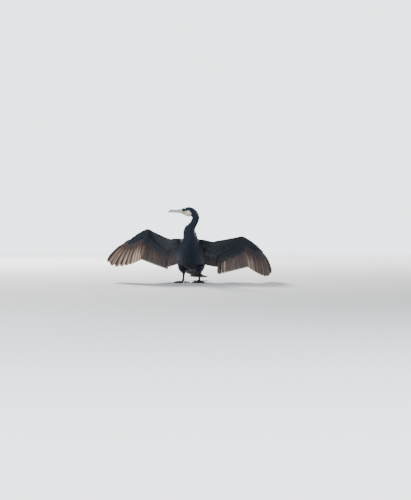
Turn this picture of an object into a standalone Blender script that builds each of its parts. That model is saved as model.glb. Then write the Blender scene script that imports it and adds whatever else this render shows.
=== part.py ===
# A great cormorant, life size, drying its wings: it stands on both feet, faces -Y and looks to its right.
# Metres, +Z up. The bird's left side is +X. It is worked out round a point on the floor under the
# middle of the trunk, and moved at the end so that the middle of its footprint is the origin.
import math

import bmesh
import bpy
import numpy as np
from mathutils import Matrix, Vector

# Driving sizes of the skeleton and of the longest feathers
HUMERUS = 0.150
ULNA = 0.165
HAND = 0.118
PRIMARY_LENGTHS = (0.217, 0.232, 0.231, 0.222, 0.213, 0.205, 0.199, 0.194, 0.190, 0.187)
SECONDARY_LENGTHS = (0.190, 0.168)
TERTIAL_LENGTHS = (0.140, 0.146)
TAIL_LENGTH = 0.152
TARSUS_RADIUS = 0.0062
EYE_RADIUS = 0.0062
TOUCHING_GAP = 0.0003

# How the feathers are counted and laid
SECONDARIES = 13
TERTIALS = 6
TAIL_FEATHERS = 14
OUTER_BOW, INNER_BOW = 0.075, 0.030
PRIMARY_TILT, SECONDARY_TILT, TAIL_TILT = math.radians(9), math.radians(7.5), math.radians(8)
VANE_THICKNESS = 0.0006
HALF_SLIT = 0.00035
END_WIDENING = 3.0
ROUND = 20

# Half widths of a feather beside its shaft, on the side that leads in flight and on the other side
PRIMARY_HALVES = ((0.0062, 0.0185), (0.0085, 0.0150))
SECONDARY_HALVES = (0.0120, 0.0170)
TERTIAL_HALVES = (0.0130, 0.0180)
TAIL_HALVES = (0.0065, 0.0085)
ALULA_HALVES = (0.0050, 0.0075)

# Outlines of a vane: the share of its half width at each share of its length
FLIGHT_OUTLINE = ((0, 0.14), (0.26, 0.40), (0.42, 0.92), (0.74, 1.0), (0.94, 0.74), (1, 0.22))
ARM_OUTLINE = ((0, 0.14), (0.18, 0.75), (0.60, 1.0), (0.93, 0.78), (1, 0.25))
COVERT_OUTLINE = ((0, 0.30), (0.60, 1.0), (1, 0.25))

# Tiers of coverts on a wing: their number on hand, forearm and upper arm, share of the flight feather's
# length, half widths, and how far above the shafts they start and end
COVERT_TIERS = (
    ((8, 10, 4), 0.43, (0.0095, 0.0125), (0.0046, 0.0052)),
    ((8, 10, 4), 0.41, (0.0095, 0.0125), (-0.0048, -0.0058)),
    ((5, 7, 3), 0.27, (0.0110, 0.0120), (0.0080, 0.0092)),
)
TIER_SCALE = (0.8, 1.0, 1.0)
TAIL_TIERS = ((3, 0.42, (0.0085, 0.0110), (0.0026, 0.0046)), (3, 0.50, (0.0085, 0.0110), (-0.0026, -0.0046)))
ALULA_LENGTHS = (0.060, 0.052, 0.044)

# Pose of each wing: the wrist, the bend of the elbow, the way that the hand and feathers point, and
# two points of the skin's edge in front of the upper arm. The bird was seen from 8 degrees to its left.
SHOULDER = Vector((0.062, -0.070, 0.232))
WING_POSE = {
    "left": {
        "side": 1,
        "wrist": Vector((0.300, 0.010, 0.256)),
        "elbow_towards": Vector((0, 0.75, -0.66)),
        "hand": Vector((0.731, 0.476, -0.490)),
        "outer_primary": Vector((0.315, 0.630, -0.710)),
        "inner_primary": Vector((0.140, 0.444, -0.885)),
        "inner_secondary": Vector((-0.079, 0.565, -0.820)),
        "outer_tertial": Vector((-0.100, 0.713, -0.690)),
        "inner_tertial": Vector((-0.190, 0.610, -0.770)),
        "edge": (Vector((0.128, -0.062, 0.238)), Vector((0.166, -0.038, 0.245))),
    },
    "right": {
        "side": -1,
        "wrist": Vector((-0.250, -0.030, 0.298)),
        "elbow_towards": Vector((0, 0.80, -0.55)),
        "hand": Vector((-0.868, 0.211, -0.450)),
        "outer_primary": Vector((-0.745, 0.274, -0.600)),
        "inner_primary": Vector((-0.291, 0.383, -0.876)),
        "inner_secondary": Vector((-0.121, 0.649, -0.750)),
        "outer_tertial": Vector((-0.100, 0.590, -0.800)),
        "inner_tertial": Vector((0.016, 0.608, -0.790)),
        "edge": (Vector((-0.112, -0.075, 0.254)), Vector((-0.160, -0.058, 0.272))),
    },
}

# The body from the tail root to the bill: centre, half width, height above and below it, and its upper side
BODY = (
    ((0, 0.188, 0.040), 0.016, 0.0055, 0.0055, (0, 0.3, 1)),
    ((0, 0.158, 0.049), 0.027, 0.015, 0.015, (0, 0.4, 1)),
    ((0, 0.135, 0.057), 0.036, 0.023, 0.024, (0, 0.4, 1)),
    ((0, 0.110, 0.067), 0.051, 0.035, 0.029, (0, 0.5, 1)),
    ((0, 0.080, 0.083), 0.068, 0.050, 0.040, (0, 0.6, 1)),
    ((0, 0.045, 0.107), 0.080, 0.062, 0.054, (0, 0.7, 1)),
    ((0, 0.008, 0.137), 0.085, 0.070, 0.073, (0, 0.8, 1)),
    ((0.002, -0.030, 0.169), 0.084, 0.069, 0.072, (0, 0.9, 1)),
    ((0.005, -0.068, 0.201), 0.076, 0.062, 0.066, (0, 1, 1)),
    ((0.009, -0.098, 0.228), 0.060, 0.052, 0.055, (0.05, 1, 0.8)),
    ((0.013, -0.118, 0.249), 0.047, 0.044, 0.047, (0.15, 1, 0.5)),
    ((0.0145, -0.127, 0.268), 0.041, 0.040, 0.041, (0.3, 1, 0.3)),
    ((0.0105, -0.135, 0.299), 0.0345, 0.0345, 0.0345, (0.5, 0.9, 0.1)),
    ((0.0195, -0.138, 0.323), 0.0280, 0.0275, 0.0280, (0.75, 0.65, 0)),
    ((0.0385, -0.132, 0.351), 0.0225, 0.0225, 0.0225, (1, 0.4, 0.1)),
    ((0.0465, -0.122, 0.378), 0.0215, 0.022, 0.022, (1, 0.2, 0.3)),
    ((0.033, -0.1125, 0.401), 0.0215, 0.0230, 0.0230, (0.7, 0.1, 0.8)),
    ((0.010, -0.116, 0.413), 0.0205, 0.0258, 0.0320, (0, 0, 1)),
    ((-0.013, -0.119, 0.416), 0.0172, 0.0208, 0.0295, (0, 0, 1)),
    ((-0.0335, -0.122, 0.4145), 0.0105, 0.0150, 0.0175, (0, 0, 1)),
)
BODY_STEPS = 2
TAIL_ROW, NECK_ROW, HEAD_ROW = 1, 10.5, 15

# The head's own axes: forward along the bill, sideways to its left, and up
FORWARD = Vector((-0.9905, -0.1375, 0)).normalized()
UP = Vector((0, 0, 1))
SIDEWAYS = UP.cross(FORWARD)
EYE_PLANE = Vector((-0.013, -0.119, 0))

# The bill along the head's forward axis from the eye: forward, height, half width, half height
BILL_BASE = 0.0210
BILL = (
    (BILL_BASE, 0.4140, 0.0102, 0.0140),
    (0.036, 0.4138, 0.0082, 0.0110),
    (0.052, 0.4136, 0.0068, 0.0092),
    (0.067, 0.4138, 0.0058, 0.0082),
    (0.080, 0.4146, 0.0054, 0.0090),
    (0.089, 0.4142, 0.0048, 0.0086),
    (0.0945, 0.4110, 0.0034, 0.0054),
    (0.0960, 0.4065, 0.0018, 0.0028),
    (0.0953, 0.4030, 0.0006, 0.0008),
)
MOUTH_FRONT, MOUTH_BACK = 0.0890, -0.0200
MOUTH_HEIGHT, MOUTH_SLOPE = 0.4108, math.radians(2.0)
EYE_OUT, EYE_HEIGHT = 0.0112, 0.4245
LID_RADIUS, LID_THICKNESS = 0.0047, 0.0009

# Legs: the hip, the knee, the ankle and the root of the toes, and each toe's length, turn and half width
HIP = Vector((0.034, -0.004, 0.135))
KNEE = Vector((0.045, -0.004, 0.098))
ANKLE = Vector((0.047, 0.032, 0.053))
TOE_ROOT = Vector((0.047, 0.004, 0.0085))
TOES = ((0.046, -66, 0.0040), (0.070, -20, 0.0046), (0.090, 5, 0.0052), (0.102, 27, 0.0052))
ANKLE_RING, FOOT_RING = 8, 14
WEB_THICKNESS = 0.0014

PLUMAGE = ("plumage", (0.020, 0.022, 0.028, 1), 0.45)
FLIGHT = ("flight feathers", (0.085, 0.055, 0.040, 1), 0.55)
HORN = ("horn", (0.62, 0.62, 0.64, 1), 0.35)
POUCH = ("throat skin", (0.80, 0.72, 0.58, 1), 0.50)
EYE = ("eye", (0.02, 0.20, 0.14, 1), 0.08)
WEBBING = ("foot skin", (0.018, 0.018, 0.020, 1), 0.50)


def clear_scene():
    for obj in list(bpy.data.objects):
        bpy.data.objects.remove(obj, do_unlink=True)
    for collection in list(bpy.data.collections):
        bpy.data.collections.remove(collection)


def material(look):
    name, colour, roughness = look
    found = bpy.data.materials.get(name)
    if found is None:
        found = bpy.data.materials.new(name)
        found.use_nodes = True
        shader = found.node_tree.nodes["Principled BSDF"]
        shader.inputs["Base Color"].default_value = colour
        shader.inputs["Roughness"].default_value = roughness
        shader.inputs["Metallic"].default_value = 0.0
    return found


def smooth(rows, steps):
    """Rows of numbers with steps - 1 more between each two, on a Catmull-Rom curve through them."""
    rows = np.array(rows, float)
    ends = np.vstack([2 * rows[0] - rows[1], rows, 2 * rows[-1] - rows[-2]])
    made = []
    for i in range(1, len(rows)):
        before, here, after, beyond = ends[i - 1 : i + 3]
        for t in np.arange(steps) / steps:
            made.append(
                here
                + 0.5 * t * (after - before)
                + t**2 * (before - 2.5 * here + 2 * after - 0.5 * beyond)
                + t**3 * (1.5 * here - 0.5 * before - 1.5 * after + 0.5 * beyond)
            )
    return np.array(made + [rows[-1]])


def stations(table, steps):
    """Each station of a limb or body as centre, half width, rise, fall and upper side, made finer."""
    flat = [(*centre, half_width, rise, fall, *upper) for centre, half_width, rise, fall, upper in table]
    return [
        (Vector(row[:3]), row[3], row[4], row[5], Vector(row[6:9]))
        for row in smooth(flat, steps)
    ]


def rings(table, round_points=ROUND, grow=0.0, squareness=2.2):
    """One ring of points for each station, square to the line through the stations' centres."""
    made = []
    for i, (centre, half_width, rise, fall, upper) in enumerate(table):
        before, after = table[max(i - 1, 0)][0], table[min(i + 1, len(table) - 1)][0]
        along = (after - before).normalized()
        over = (upper - upper.dot(along) * along).normalized()
        across = along.cross(over)
        ring = []
        for k in range(round_points):
            angle = math.tau * (k + 0.5) / round_points
            c, s = math.cos(angle), math.sin(angle)
            c = math.copysign(abs(c) ** (2 / squareness), c)
            s = math.copysign(abs(s) ** (2 / squareness), s)
            height = (rise if s > 0 else fall) + grow
            ring.append(centre + across * (c * (half_width + grow)) + over * (s * height))
        made.append((ring, along))
    return made


def loft(made):
    """A closed skin over rings of points, flat at both ends. Its triangles all lean the same way, so that
    a grown copy of it follows it at every point."""
    bm = bmesh.new()
    rows = [[bm.verts.new(p) for p in ring] for ring, _ in made]
    for low, high in zip(rows, rows[1:]):
        count = len(low)
        for k in range(count):
            bm.faces.new((low[k], low[(k + 1) % count], high[(k + 1) % count]))
            bm.faces.new((low[k], high[(k + 1) % count], high[k]))
    bm.faces.new(rows[0])
    bm.faces.new(rows[-1])
    bmesh.ops.recalc_face_normals(bm, faces=bm.faces)
    return bm


def part_of(made, first, last, open_first=False, open_last=False):
    """Rings first to last, with an end that meets a neighbour drawn back by half the touching gap."""
    chosen = [([p.copy() for p in ring], along) for ring, along in made[first : last + 1]]
    if open_first:
        for p in chosen[0][0]:
            p += chosen[0][1] * (TOUCHING_GAP / 2)
    if open_last:
        for p in chosen[-1][0]:
            p -= chosen[-1][1] * (TOUCHING_GAP / 2)
    return chosen


def as_object(name, bm, look, hidden=False):
    mesh = bpy.data.meshes.new(name)
    bmesh.ops.triangulate(bm, faces=[f for f in bm.faces if len(f.verts) > 4])
    bm.to_mesh(mesh)
    bm.free()
    obj = bpy.data.objects.new(name, mesh)
    if look:
        mesh.materials.append(material(look))
    (cutters if hidden else model).objects.link(obj)
    if hidden:
        obj.hide_render = True
        obj.display_type = "WIRE"
    return obj


def applied(obj):
    """The object's mesh with its modifiers, in their place."""
    graph = bpy.context.evaluated_depsgraph_get()
    mesh = bpy.data.meshes.new_from_object(obj.evaluated_get(graph))
    obj.modifiers.clear()
    old = obj.data
    obj.data = mesh
    bpy.data.meshes.remove(old)


def keep_largest(obj):
    """Drops every closed surface of the mesh but the one with the most room in it."""
    bm = bmesh.new()
    bm.from_mesh(obj.data)
    bmesh.ops.remove_doubles(bm, verts=bm.verts, dist=1e-7)
    left, groups = set(bm.verts), []
    while left:
        seed = left.pop()
        group, edge = {seed}, [seed]
        while edge:
            vert = edge.pop()
            for link in vert.link_edges:
                other = link.other_vert(vert)
                if other not in group:
                    group.add(other)
                    edge.append(other)
        left -= group
        groups.append(group)

    def room(group):
        low = [min(v.co[i] for v in group) for i in range(3)]
        high = [max(v.co[i] for v in group) for i in range(3)]
        return math.dist(low, high)

    best = max(groups, key=room)
    bmesh.ops.delete(bm, geom=[v for v in bm.verts if v not in best], context="VERTS")
    bm.to_mesh(obj.data)
    bm.free()


def boolean(obj, other, operation):
    change = obj.modifiers.new(operation.lower(), "BOOLEAN")
    change.operation = operation
    change.solver = "EXACT"
    change.object = other
    applied(obj)
    keep_largest(obj)


def fused(name, core, pieces, look):
    """One body: the core with all the pieces that grow from it joined to it."""
    obj = as_object(name, core, look)
    grown = bpy.data.collections.new(name + " pieces")
    for i, piece in enumerate(pieces):
        mesh = bpy.data.meshes.new(f"{name} piece {i}")
        piece.to_mesh(mesh)
        piece.free()
        grown.objects.link(bpy.data.objects.new(mesh.name, mesh))
    bpy.context.scene.collection.children.link(grown)
    join = obj.modifiers.new("join", "BOOLEAN")
    join.operation = "UNION"
    join.solver = "EXACT"
    join.operand_type = "COLLECTION"
    join.collection = grown
    applied(obj)
    for piece in list(grown.objects):
        bpy.data.objects.remove(piece, do_unlink=True)
    bpy.data.collections.remove(grown)
    keep_largest(obj)
    return obj


def panel(rows, normals, thickness):
    """A smooth sheet over rows of points, as thick as said, with the same triangles on both faces."""
    across, along = len(rows) - 1, len(rows[0]) - 1
    bm = bmesh.new()
    bmesh.ops.create_grid(bm, x_segments=across, y_segments=along, size=0.5)
    for vert in bm.verts:
        i, j = round((vert.co.x + 0.5) * across), round((vert.co.y + 0.5) * along)
        vert.co = rows[i][j] + normals[i] * (thickness / 2)
    bmesh.ops.triangulate(bm, faces=bm.faces)
    bmesh.ops.solidify(bm, geom=bm.faces[:], thickness=thickness)
    bmesh.ops.recalc_face_normals(bm, faces=bm.faces)
    return bm


def mix(a, b, t):
    return a * (1 - t) + b * t


# Wings

def two_bones(start, end, first, second, towards):
    """Where two bones of given lengths meet, bent towards a direction."""
    span = end - start
    reach = span.length
    line = span / reach
    foot = (first**2 - second**2 + reach**2) / (2 * reach)
    bend = (towards - towards.dot(line) * line).normalized()
    return start + line * foot + bend * math.sqrt(first**2 - foot**2)


def wing_bones(pose):
    shoulder = Vector((pose["side"] * SHOULDER.x, SHOULDER.y, SHOULDER.z))
    elbow = two_bones(shoulder, pose["wrist"], HUMERUS, ULNA, pose["elbow_towards"])
    hand = pose["hand"].normalized()
    return shoulder, elbow, pose["wrist"], pose["wrist"] + hand * HAND


class Feather:
    """A shaft from its root along a line, with the side that leads in flight and the upper side."""

    def __init__(self, root, line, length, bow, halves):
        self.root, self.line, self.length, self.bow = root, line.normalized(), length, bow
        self.halves = halves
        self.leading = self.upper = None

    def face(self, upper, towards, tilt):
        """Lies flat to the upper side, then rolls so that its leading edge is over its neighbour's edge."""
        upper = (upper - upper.dot(self.line) * self.line).normalized()
        leading = self.line.cross(upper)
        if leading.dot(towards) < 0:
            leading = -leading
        self.leading = leading * math.cos(tilt) + upper * math.sin(tilt)
        self.upper = upper * math.cos(tilt) - leading * math.sin(tilt)

    def at(self, share, aside=0.0, above=0.0):
        """A point beside the shaft at a share of its length. The shaft bows towards its leading side."""
        bulge = 4 * self.bow * self.length * share * (1 - share)
        along = self.root + self.line * self.length * share
        return along + self.leading * (bulge + aside) + self.upper * above

    def room_to(self, edge, share):
        """How wide the vane may be at a share of its length, beside the shaft-like line of an edge."""
        middle = self.at(share)
        beside = edge.at((middle - edge.root).dot(edge.line) / edge.length)
        return abs((beside - middle).dot(self.leading)) - HALF_SLIT


def between(first, second, t):
    """A feather part of the way from one to the next."""
    made = Feather(
        mix(first.root, second.root, t),
        mix(first.line, second.line, t),
        mix(first.length, second.length, t),
        mix(first.bow, second.bow, t),
        tuple(mix(a, b, t) for a, b in zip(first.halves, second.halves)),
    )
    made.face(mix(first.upper, second.upper, t), mix(first.leading, second.leading, t), 0)
    return made


def vane(feather, outline, edges=(None, None), above=(0.0, 0.0)):
    """A thin tapered vane on both sides of the shaft. Beside a neighbour's node it widens up to the slit."""
    rows = [[], []]
    for share, wide in outline:
        rise = mix(*above, share)
        widened = wide * mix(1, END_WIDENING, share)
        ahead, behind = (
            min(half * widened, feather.room_to(edge, share)) if edge else half * wide
            for half, edge in zip(feather.halves, edges)
        )
        rows[0].append(feather.at(share, ahead, rise))
        rows[1].append(feather.at(share, -behind, rise))
    return panel(rows, [feather.upper] * 2, VANE_THICKNESS)


def flight_feathers(pose):
    """The primaries, secondaries and tertials of a wing, each from the outermost in."""
    shoulder, elbow, wrist, hand_tip = wing_bones(pose)
    rows = [[], [], []]
    last = len(PRIMARY_LENGTHS) - 1
    for i, length in enumerate(PRIMARY_LENGTHS):
        t = i / last
        line = pose["inner_primary"].lerp(pose["outer_primary"], (1 - t) ** 2)
        root = mix(hand_tip, wrist, mix(0.08, 0.93, t))
        halves = tuple(mix(a, b, t) for a, b in zip(*PRIMARY_HALVES))
        rows[0].append(Feather(root, line, length, mix(OUTER_BOW, INNER_BOW, t), halves))
    for i in range(SECONDARIES):
        t = i / (SECONDARIES - 1)
        line = pose["inner_primary"].lerp(pose["inner_secondary"], t)
        root = mix(wrist, elbow, mix(0.05, 0.92, t))
        rows[1].append(Feather(root, line, mix(*SECONDARY_LENGTHS, t), INNER_BOW, SECONDARY_HALVES))
    for i in range(TERTIALS):
        t = i / (TERTIALS - 1)
        line = pose["outer_tertial"].lerp(pose["inner_tertial"], t)
        root = mix(elbow, shoulder, mix(0.145, 0.60, t))
        rows[2].append(Feather(root, line, mix(*TERTIAL_LENGTHS, t), INNER_BOW, TERTIAL_HALVES))
    tilts = [PRIMARY_TILT] * len(rows[0]) + [SECONDARY_TILT] * (SECONDARIES + TERTIALS)
    face_as_sheet([feather for row in rows for feather in row], tilts)
    return rows


def face_as_sheet(feathers, tilts):
    """Turns each feather to lie in the sheet that it makes with the feathers on both sides of it."""
    middles = [f.root + f.line * f.length * 0.5 for f in feathers]
    uppers = []
    for i in range(len(feathers) - 1):
        upper = feathers[i].line.cross(middles[i + 1] - middles[i]).normalized()
        uppers.append(upper if upper.y > 0 else -upper)
    uppers = [uppers[0], *uppers, uppers[-1]]
    for i, feather in enumerate(feathers):
        near = min(i, len(feathers) - 2)
        feather.face(uppers[i] + uppers[i + 1], middles[near] - middles[near + 1], tilts[i])


def edged(count, edges):
    """For each of a row of feathers, the slits that it stops at: only the end ones have any."""
    return [(edges[0] if i == 0 else None, edges[1] if i == count - 1 else None) for i in range(count)]


def coverts(feathers, count, share, halves, above, edges):
    """One tier of coverts over a row of feathers."""
    made = []
    for i, limits in enumerate(edged(count, edges)):
        place = i / (count - 1) * (len(feathers) - 1)
        near = min(int(place), len(feathers) - 2)
        covert = between(feathers[near], feathers[near + 1], place - near)
        covert.length *= share
        covert.halves = halves
        made.append(vane(covert, COVERT_OUTLINE, limits, above))
    return made


def plumes(feathers, outline, segment, edges):
    """The flight feathers of one segment of the wing with their coverts."""
    limits = edged(len(feathers), edges)
    made = [vane(feather, outline, limit) for feather, limit in zip(feathers, limits)]
    for counts, share, halves, above in COVERT_TIERS:
        rise = tuple(height * TIER_SCALE[segment] for height in above)
        made += coverts(feathers, counts[segment], share, halves, rise, edges)
    return made


def alula(pose, outermost):
    """The small feathers of the thumb, on the leading edge beside the wrist."""
    hand = pose["hand"].normalized()
    made = []
    for i, length in enumerate(ALULA_LENGTHS):
        root = pose["wrist"] + hand * (0.016 + 0.005 * i) + outermost.leading * 0.004
        feather = Feather(root, hand + outermost.leading * (0.10 - 0.06 * i), length, 0.04, ALULA_HALVES)
        feather.face(outermost.upper, outermost.leading, SECONDARY_TILT)
        made.append(vane(feather, ARM_OUTLINE, above=(0.0045 + 0.0012 * i, 0.0070 + 0.0012 * i)))
    return made


# A cross-section of the arm from the bone to the leading edge: share of the chord and half thickness
ARM_STEPS = 2
ARM_PROFILE = ((-1.0, 0.35), (-0.55, 0.85), (0.0, 1.0), (0.22, 0.62), (0.55, 0.30), (0.86, 0.26), (1.0, 0.10))


def arm_ring(bone, leading, normal, bone_radius):
    """A ring round one section of the arm: thick at the bone, thin over the fold of skin in front."""
    chord = leading - bone
    upper, lower = [], []
    for share, thick in ARM_PROFILE:
        place = bone + (chord * share if share > 0 else chord.normalized() * share * bone_radius)
        half = normal * max(thick * bone_radius, 0.0014)
        upper.append(place + half)
        lower.append(place - half)
    return upper + lower[::-1]


def arm_rings(pose):
    """Rings from inside the trunk out to the end of the hand."""
    shoulder, elbow, wrist, tip = wing_bones(pose)
    hand = (tip - wrist).normalized()
    fold = shoulder + Vector((pose["side"] * 0.004, -0.020, 0.026))
    dip, edge_elbow = pose["edge"]
    edge_wrist = wrist + Vector((0, -0.004, 0.0135))
    inside = Vector((-pose["side"] * 0.030, 0, 0))
    outer = pose["outer_primary"].normalized()
    table = (
        (shoulder + inside, fold + inside, 0.0150),
        (mix(shoulder, elbow, 0.30), mix(fold, dip, 0.50), 0.0155),
        (mix(shoulder, elbow, 0.65), dip, 0.0145),
        (elbow, edge_elbow, 0.0130),
        (mix(elbow, wrist, 0.35), mix(edge_elbow, edge_wrist, 0.38), 0.0130),
        (mix(elbow, wrist, 0.70), mix(edge_elbow, edge_wrist, 0.72), 0.0115),
        (wrist, edge_wrist, 0.0100),
        (wrist + hand * 0.045, wrist + hand * 0.050 + Vector((0, -0.003, 0.0160)), 0.0088),
        (wrist + hand * 0.085, wrist + hand * 0.090 + Vector((0, -0.002, 0.0130)), 0.0075),
        (tip, tip + Vector((0, -0.001, 0.0090)), 0.0050),
        (tip + outer * 0.050, tip + outer * 0.052 + Vector((0, 0, 0.0050)), 0.0016),
    )
    flat = smooth([(*bone, *leading, radius) for bone, leading, radius in table], ARM_STEPS)
    made = []
    for i, row in enumerate(flat):
        before, after = flat[max(i - 1, 0)], flat[min(i + 1, len(flat) - 1)]
        bone, leading = Vector(row[:3]), Vector(row[3:6])
        along = Vector((after[:3] + after[3:6]) - (before[:3] + before[3:6])).normalized()
        normal = along.cross(leading - bone).normalized()
        normal = normal if normal.y > 0 else -normal
        made.append((arm_ring(bone, leading, normal, row[6]), along))
    return made


def wing(name, pose, trunk_cutter):
    arm = arm_rings(pose)
    elbow, wrist = 3 * ARM_STEPS, 6 * ARM_STEPS
    primaries, secondaries, tertials = flight_feathers(pose)
    wrist_slit = between(primaries[-1], secondaries[0], 0.5)
    elbow_slit = between(secondaries[-1], tertials[0], 0.5)
    upper = fused(
        f"wing_{name}_upper",
        loft(part_of(arm, 0, elbow, open_last=True)),
        plumes(tertials, ARM_OUTLINE, 2, (elbow_slit, None)),
        PLUMAGE,
    )
    boolean(upper, trunk_cutter, "DIFFERENCE")
    fused(
        f"wing_{name}_forearm",
        loft(part_of(arm, elbow, wrist, open_first=True, open_last=True)),
        plumes(secondaries, ARM_OUTLINE, 1, (wrist_slit, elbow_slit)),
        FLIGHT,
    )
    fused(
        f"wing_{name}_hand",
        loft(part_of(arm, wrist, len(arm) - 1, open_first=True)),
        plumes(primaries, FLIGHT_OUTLINE, 0, (None, wrist_slit)) + alula(pose, primaries[0]),
        FLIGHT,
    )


# Head, neck, trunk and tail

def head_point(forward, out, height):
    return EYE_PLANE + FORWARD * forward + SIDEWAYS * out + UP * height


def jaw_block(grow):
    """The space under the line of the mouth, from under the eye to behind the hook, grown on its faces."""
    bm = bmesh.new()
    bmesh.ops.create_cube(bm, size=1.0)
    length = MOUTH_FRONT - MOUTH_BACK + 2 * grow
    depth = 0.060
    bmesh.ops.scale(bm, vec=(length, 0.080, depth), verts=bm.verts)
    bmesh.ops.translate(bm, vec=((MOUTH_FRONT + MOUTH_BACK) / 2, 0, grow - depth / 2), verts=bm.verts)
    tip_down = Matrix.Rotation(-MOUTH_SLOPE, 3, "Y")
    bmesh.ops.rotate(bm, cent=(MOUTH_FRONT, 0, 0), matrix=tip_down, verts=bm.verts)
    axes = Matrix((FORWARD, SIDEWAYS, UP)).transposed()
    bmesh.ops.transform(bm, matrix=axes.to_4x4(), verts=bm.verts)
    bmesh.ops.translate(bm, vec=EYE_PLANE + UP * MOUTH_HEIGHT, verts=bm.verts)
    return as_object("jaw block", bm, None, hidden=True)


def bill():
    """The whole bill in one loft, from its root to the tip of the hook."""
    rows = smooth([(f, h, w, d) for f, h, w, d in BILL], 2)
    made = []
    for i, (forward, height, half_width, half_height) in enumerate(rows):
        before, after = rows[max(i - 1, 0)], rows[min(i + 1, len(rows) - 1)]
        slope = Vector((after[0] - before[0], after[1] - before[1] if i else 0)).normalized()
        ring = []
        for k in range(12):
            angle = math.tau * (k + 0.5) / 12
            groove = 0.84 if k in (1, 4) else 1.0
            c, s = math.cos(angle) * half_width * groove, math.sin(angle) * half_height
            ring.append(head_point(forward - s * slope.y, c, height + s * slope.x))
        made.append((ring, FORWARD))
    return part_of(made, 0, len(made) - 1, open_first=True)


def ball(centre, radius):
    bm = bmesh.new()
    bmesh.ops.create_uvsphere(bm, u_segments=12, v_segments=8, radius=radius)
    bmesh.ops.rotate(bm, matrix=Matrix.Rotation(math.pi / 2, 3, "X"), verts=bm.verts)
    bmesh.ops.translate(bm, vec=centre, verts=bm.verts)
    return bm


def lid(centre, facing):
    """The ring of bare skin round the eye."""
    bm = bmesh.new()
    bmesh.ops.create_circle(bm, segments=5, radius=LID_THICKNESS)
    bmesh.ops.rotate(bm, matrix=Matrix.Rotation(math.pi / 2, 3, "X"), verts=bm.verts)
    bmesh.ops.translate(bm, vec=(LID_RADIUS, 0, 0), verts=bm.verts)
    bmesh.ops.spin(bm, geom=bm.edges[:], axis=UP, cent=(0, 0, 0), angle=math.tau, steps=12, use_merge=True)
    bmesh.ops.rotate(bm, matrix=UP.rotation_difference(facing).to_matrix(), verts=bm.verts)
    bmesh.ops.translate(bm, vec=centre, verts=bm.verts)
    bmesh.ops.recalc_face_normals(bm, faces=bm.faces)
    return bm


def head(body):
    eyes = {"left": head_point(0, EYE_OUT, EYE_HEIGHT), "right": head_point(0, -EYE_OUT, EYE_HEIGHT)}
    lids = []
    for side, centre in eyes.items():
        facing = (centre - head_point(0, 0, EYE_HEIGHT)).normalized()
        lids.append(lid(centre + facing * 0.0046, facing))
    skull = part_of(body, HEAD_ROW * BODY_STEPS, len(body) - 1, open_first=True)
    for p in skull[-1][0]:
        p += FORWARD * (BILL_BASE - TOUCHING_GAP / 2 - (p - EYE_PLANE).dot(FORWARD))
    skull = fused("head", loft(skull), lids, PLUMAGE)
    for side, centre in eyes.items():
        socket = as_object("socket", ball(centre, EYE_RADIUS + TOUCHING_GAP), None, hidden=True)
        boolean(skull, socket, "DIFFERENCE")
        as_object(f"eye_{side}", ball(centre, EYE_RADIUS), EYE)
    pouch = skull.copy()
    pouch.data = skull.data.copy()
    pouch.name = "gular_pouch"
    pouch.data.materials[0] = material(POUCH)
    model.objects.link(pouch)
    boolean(pouch, jaw_block(0), "INTERSECT")
    beak = bill()
    upper = as_object("bill_upper", loft(beak), HORN)
    lower = as_object("bill_lower", loft(beak), HORN)
    boolean(lower, jaw_block(0), "INTERSECT")
    cut = jaw_block(TOUCHING_GAP)
    boolean(upper, cut, "DIFFERENCE")
    boolean(skull, cut, "DIFFERENCE")


def tail(body):
    """The tail root with the feathers fanned from it, the middle pair over the rest."""
    centre = Vector((0, 0.170, 0.0450))
    sides = ([], [])
    for i in range(TAIL_FEATHERS):
        k = i - (TAIL_FEATHERS - 1) / 2
        turn = math.radians(3.3 * k + 4)
        line = Vector((math.sin(turn), math.cos(turn), -0.20))
        root = centre + Vector((0.0019 * k, 0, 0))
        feather = Feather(root, line, TAIL_LENGTH * (1 - 0.0058 * k * k), 0, TAIL_HALVES)
        feather.face(UP, Vector((k, 0, 0)), TAIL_TILT)
        sides[k > 0].append(feather)
    sides[0].reverse()
    middle = between(sides[0][0], sides[1][0], 0.5)
    vanes = []
    for side in sides:
        limits = edged(len(side), (None, None))
        limits[0] = (None, middle)
        vanes += [vane(feather, ARM_OUTLINE, limit) for feather, limit in zip(side, limits)]
        for tier in TAIL_TIERS:
            vanes += coverts(side, *tier, (middle, None))
    return fused("tail", loft(part_of(body, 0, TAIL_ROW * BODY_STEPS, open_last=True)), vanes, FLIGHT)


# Legs

def mirrored(point, side):
    return Vector((side * point.x, point.y, point.z))


def leg_rings(side):
    """Rings from inside the trunk down to the root of the toes."""
    hip, knee, ankle, root = (mirrored(p, side) for p in (HIP, KNEE, ANKLE, TOE_ROOT))
    upper = Vector((0, -1, 0.5))
    shin = (root - ankle).normalized()
    table = (
        (hip, 0.030, 0.032, 0.032, upper),
        (knee, 0.034, 0.037, 0.037, upper),
        (mix(knee, ankle, 0.40), 0.028, 0.030, 0.030, upper),
        (mix(knee, ankle, 0.75), 0.018, 0.019, 0.019, upper),
        (mix(knee, ankle, 0.98), 0.0100, 0.0105, 0.0105, upper),
        (ankle + shin * 0.010, 0.0072, 0.0080, 0.0080, upper),
        (mix(ankle, root, 0.50), TARSUS_RADIUS * 0.85, TARSUS_RADIUS, TARSUS_RADIUS, upper),
        (root - shin * 0.013, TARSUS_RADIUS, TARSUS_RADIUS * 1.1, TARSUS_RADIUS * 1.1, upper),
        (root, 0.0085, 0.0080, 0.0080, upper),
    )
    return rings(stations(table, 2), round_points=14, squareness=2.0)


def toe_line(side, number, share):
    """A point along the toe, at the height of its bones."""
    length, turn, thick = TOES[number]
    angle = math.radians(turn) * side
    line = Vector((math.sin(angle), -math.cos(angle), 0))
    return mirrored(TOE_ROOT, side) + line * length * share + UP * (mix(thick, 0.0035, share) - TOE_ROOT.z)


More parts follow.
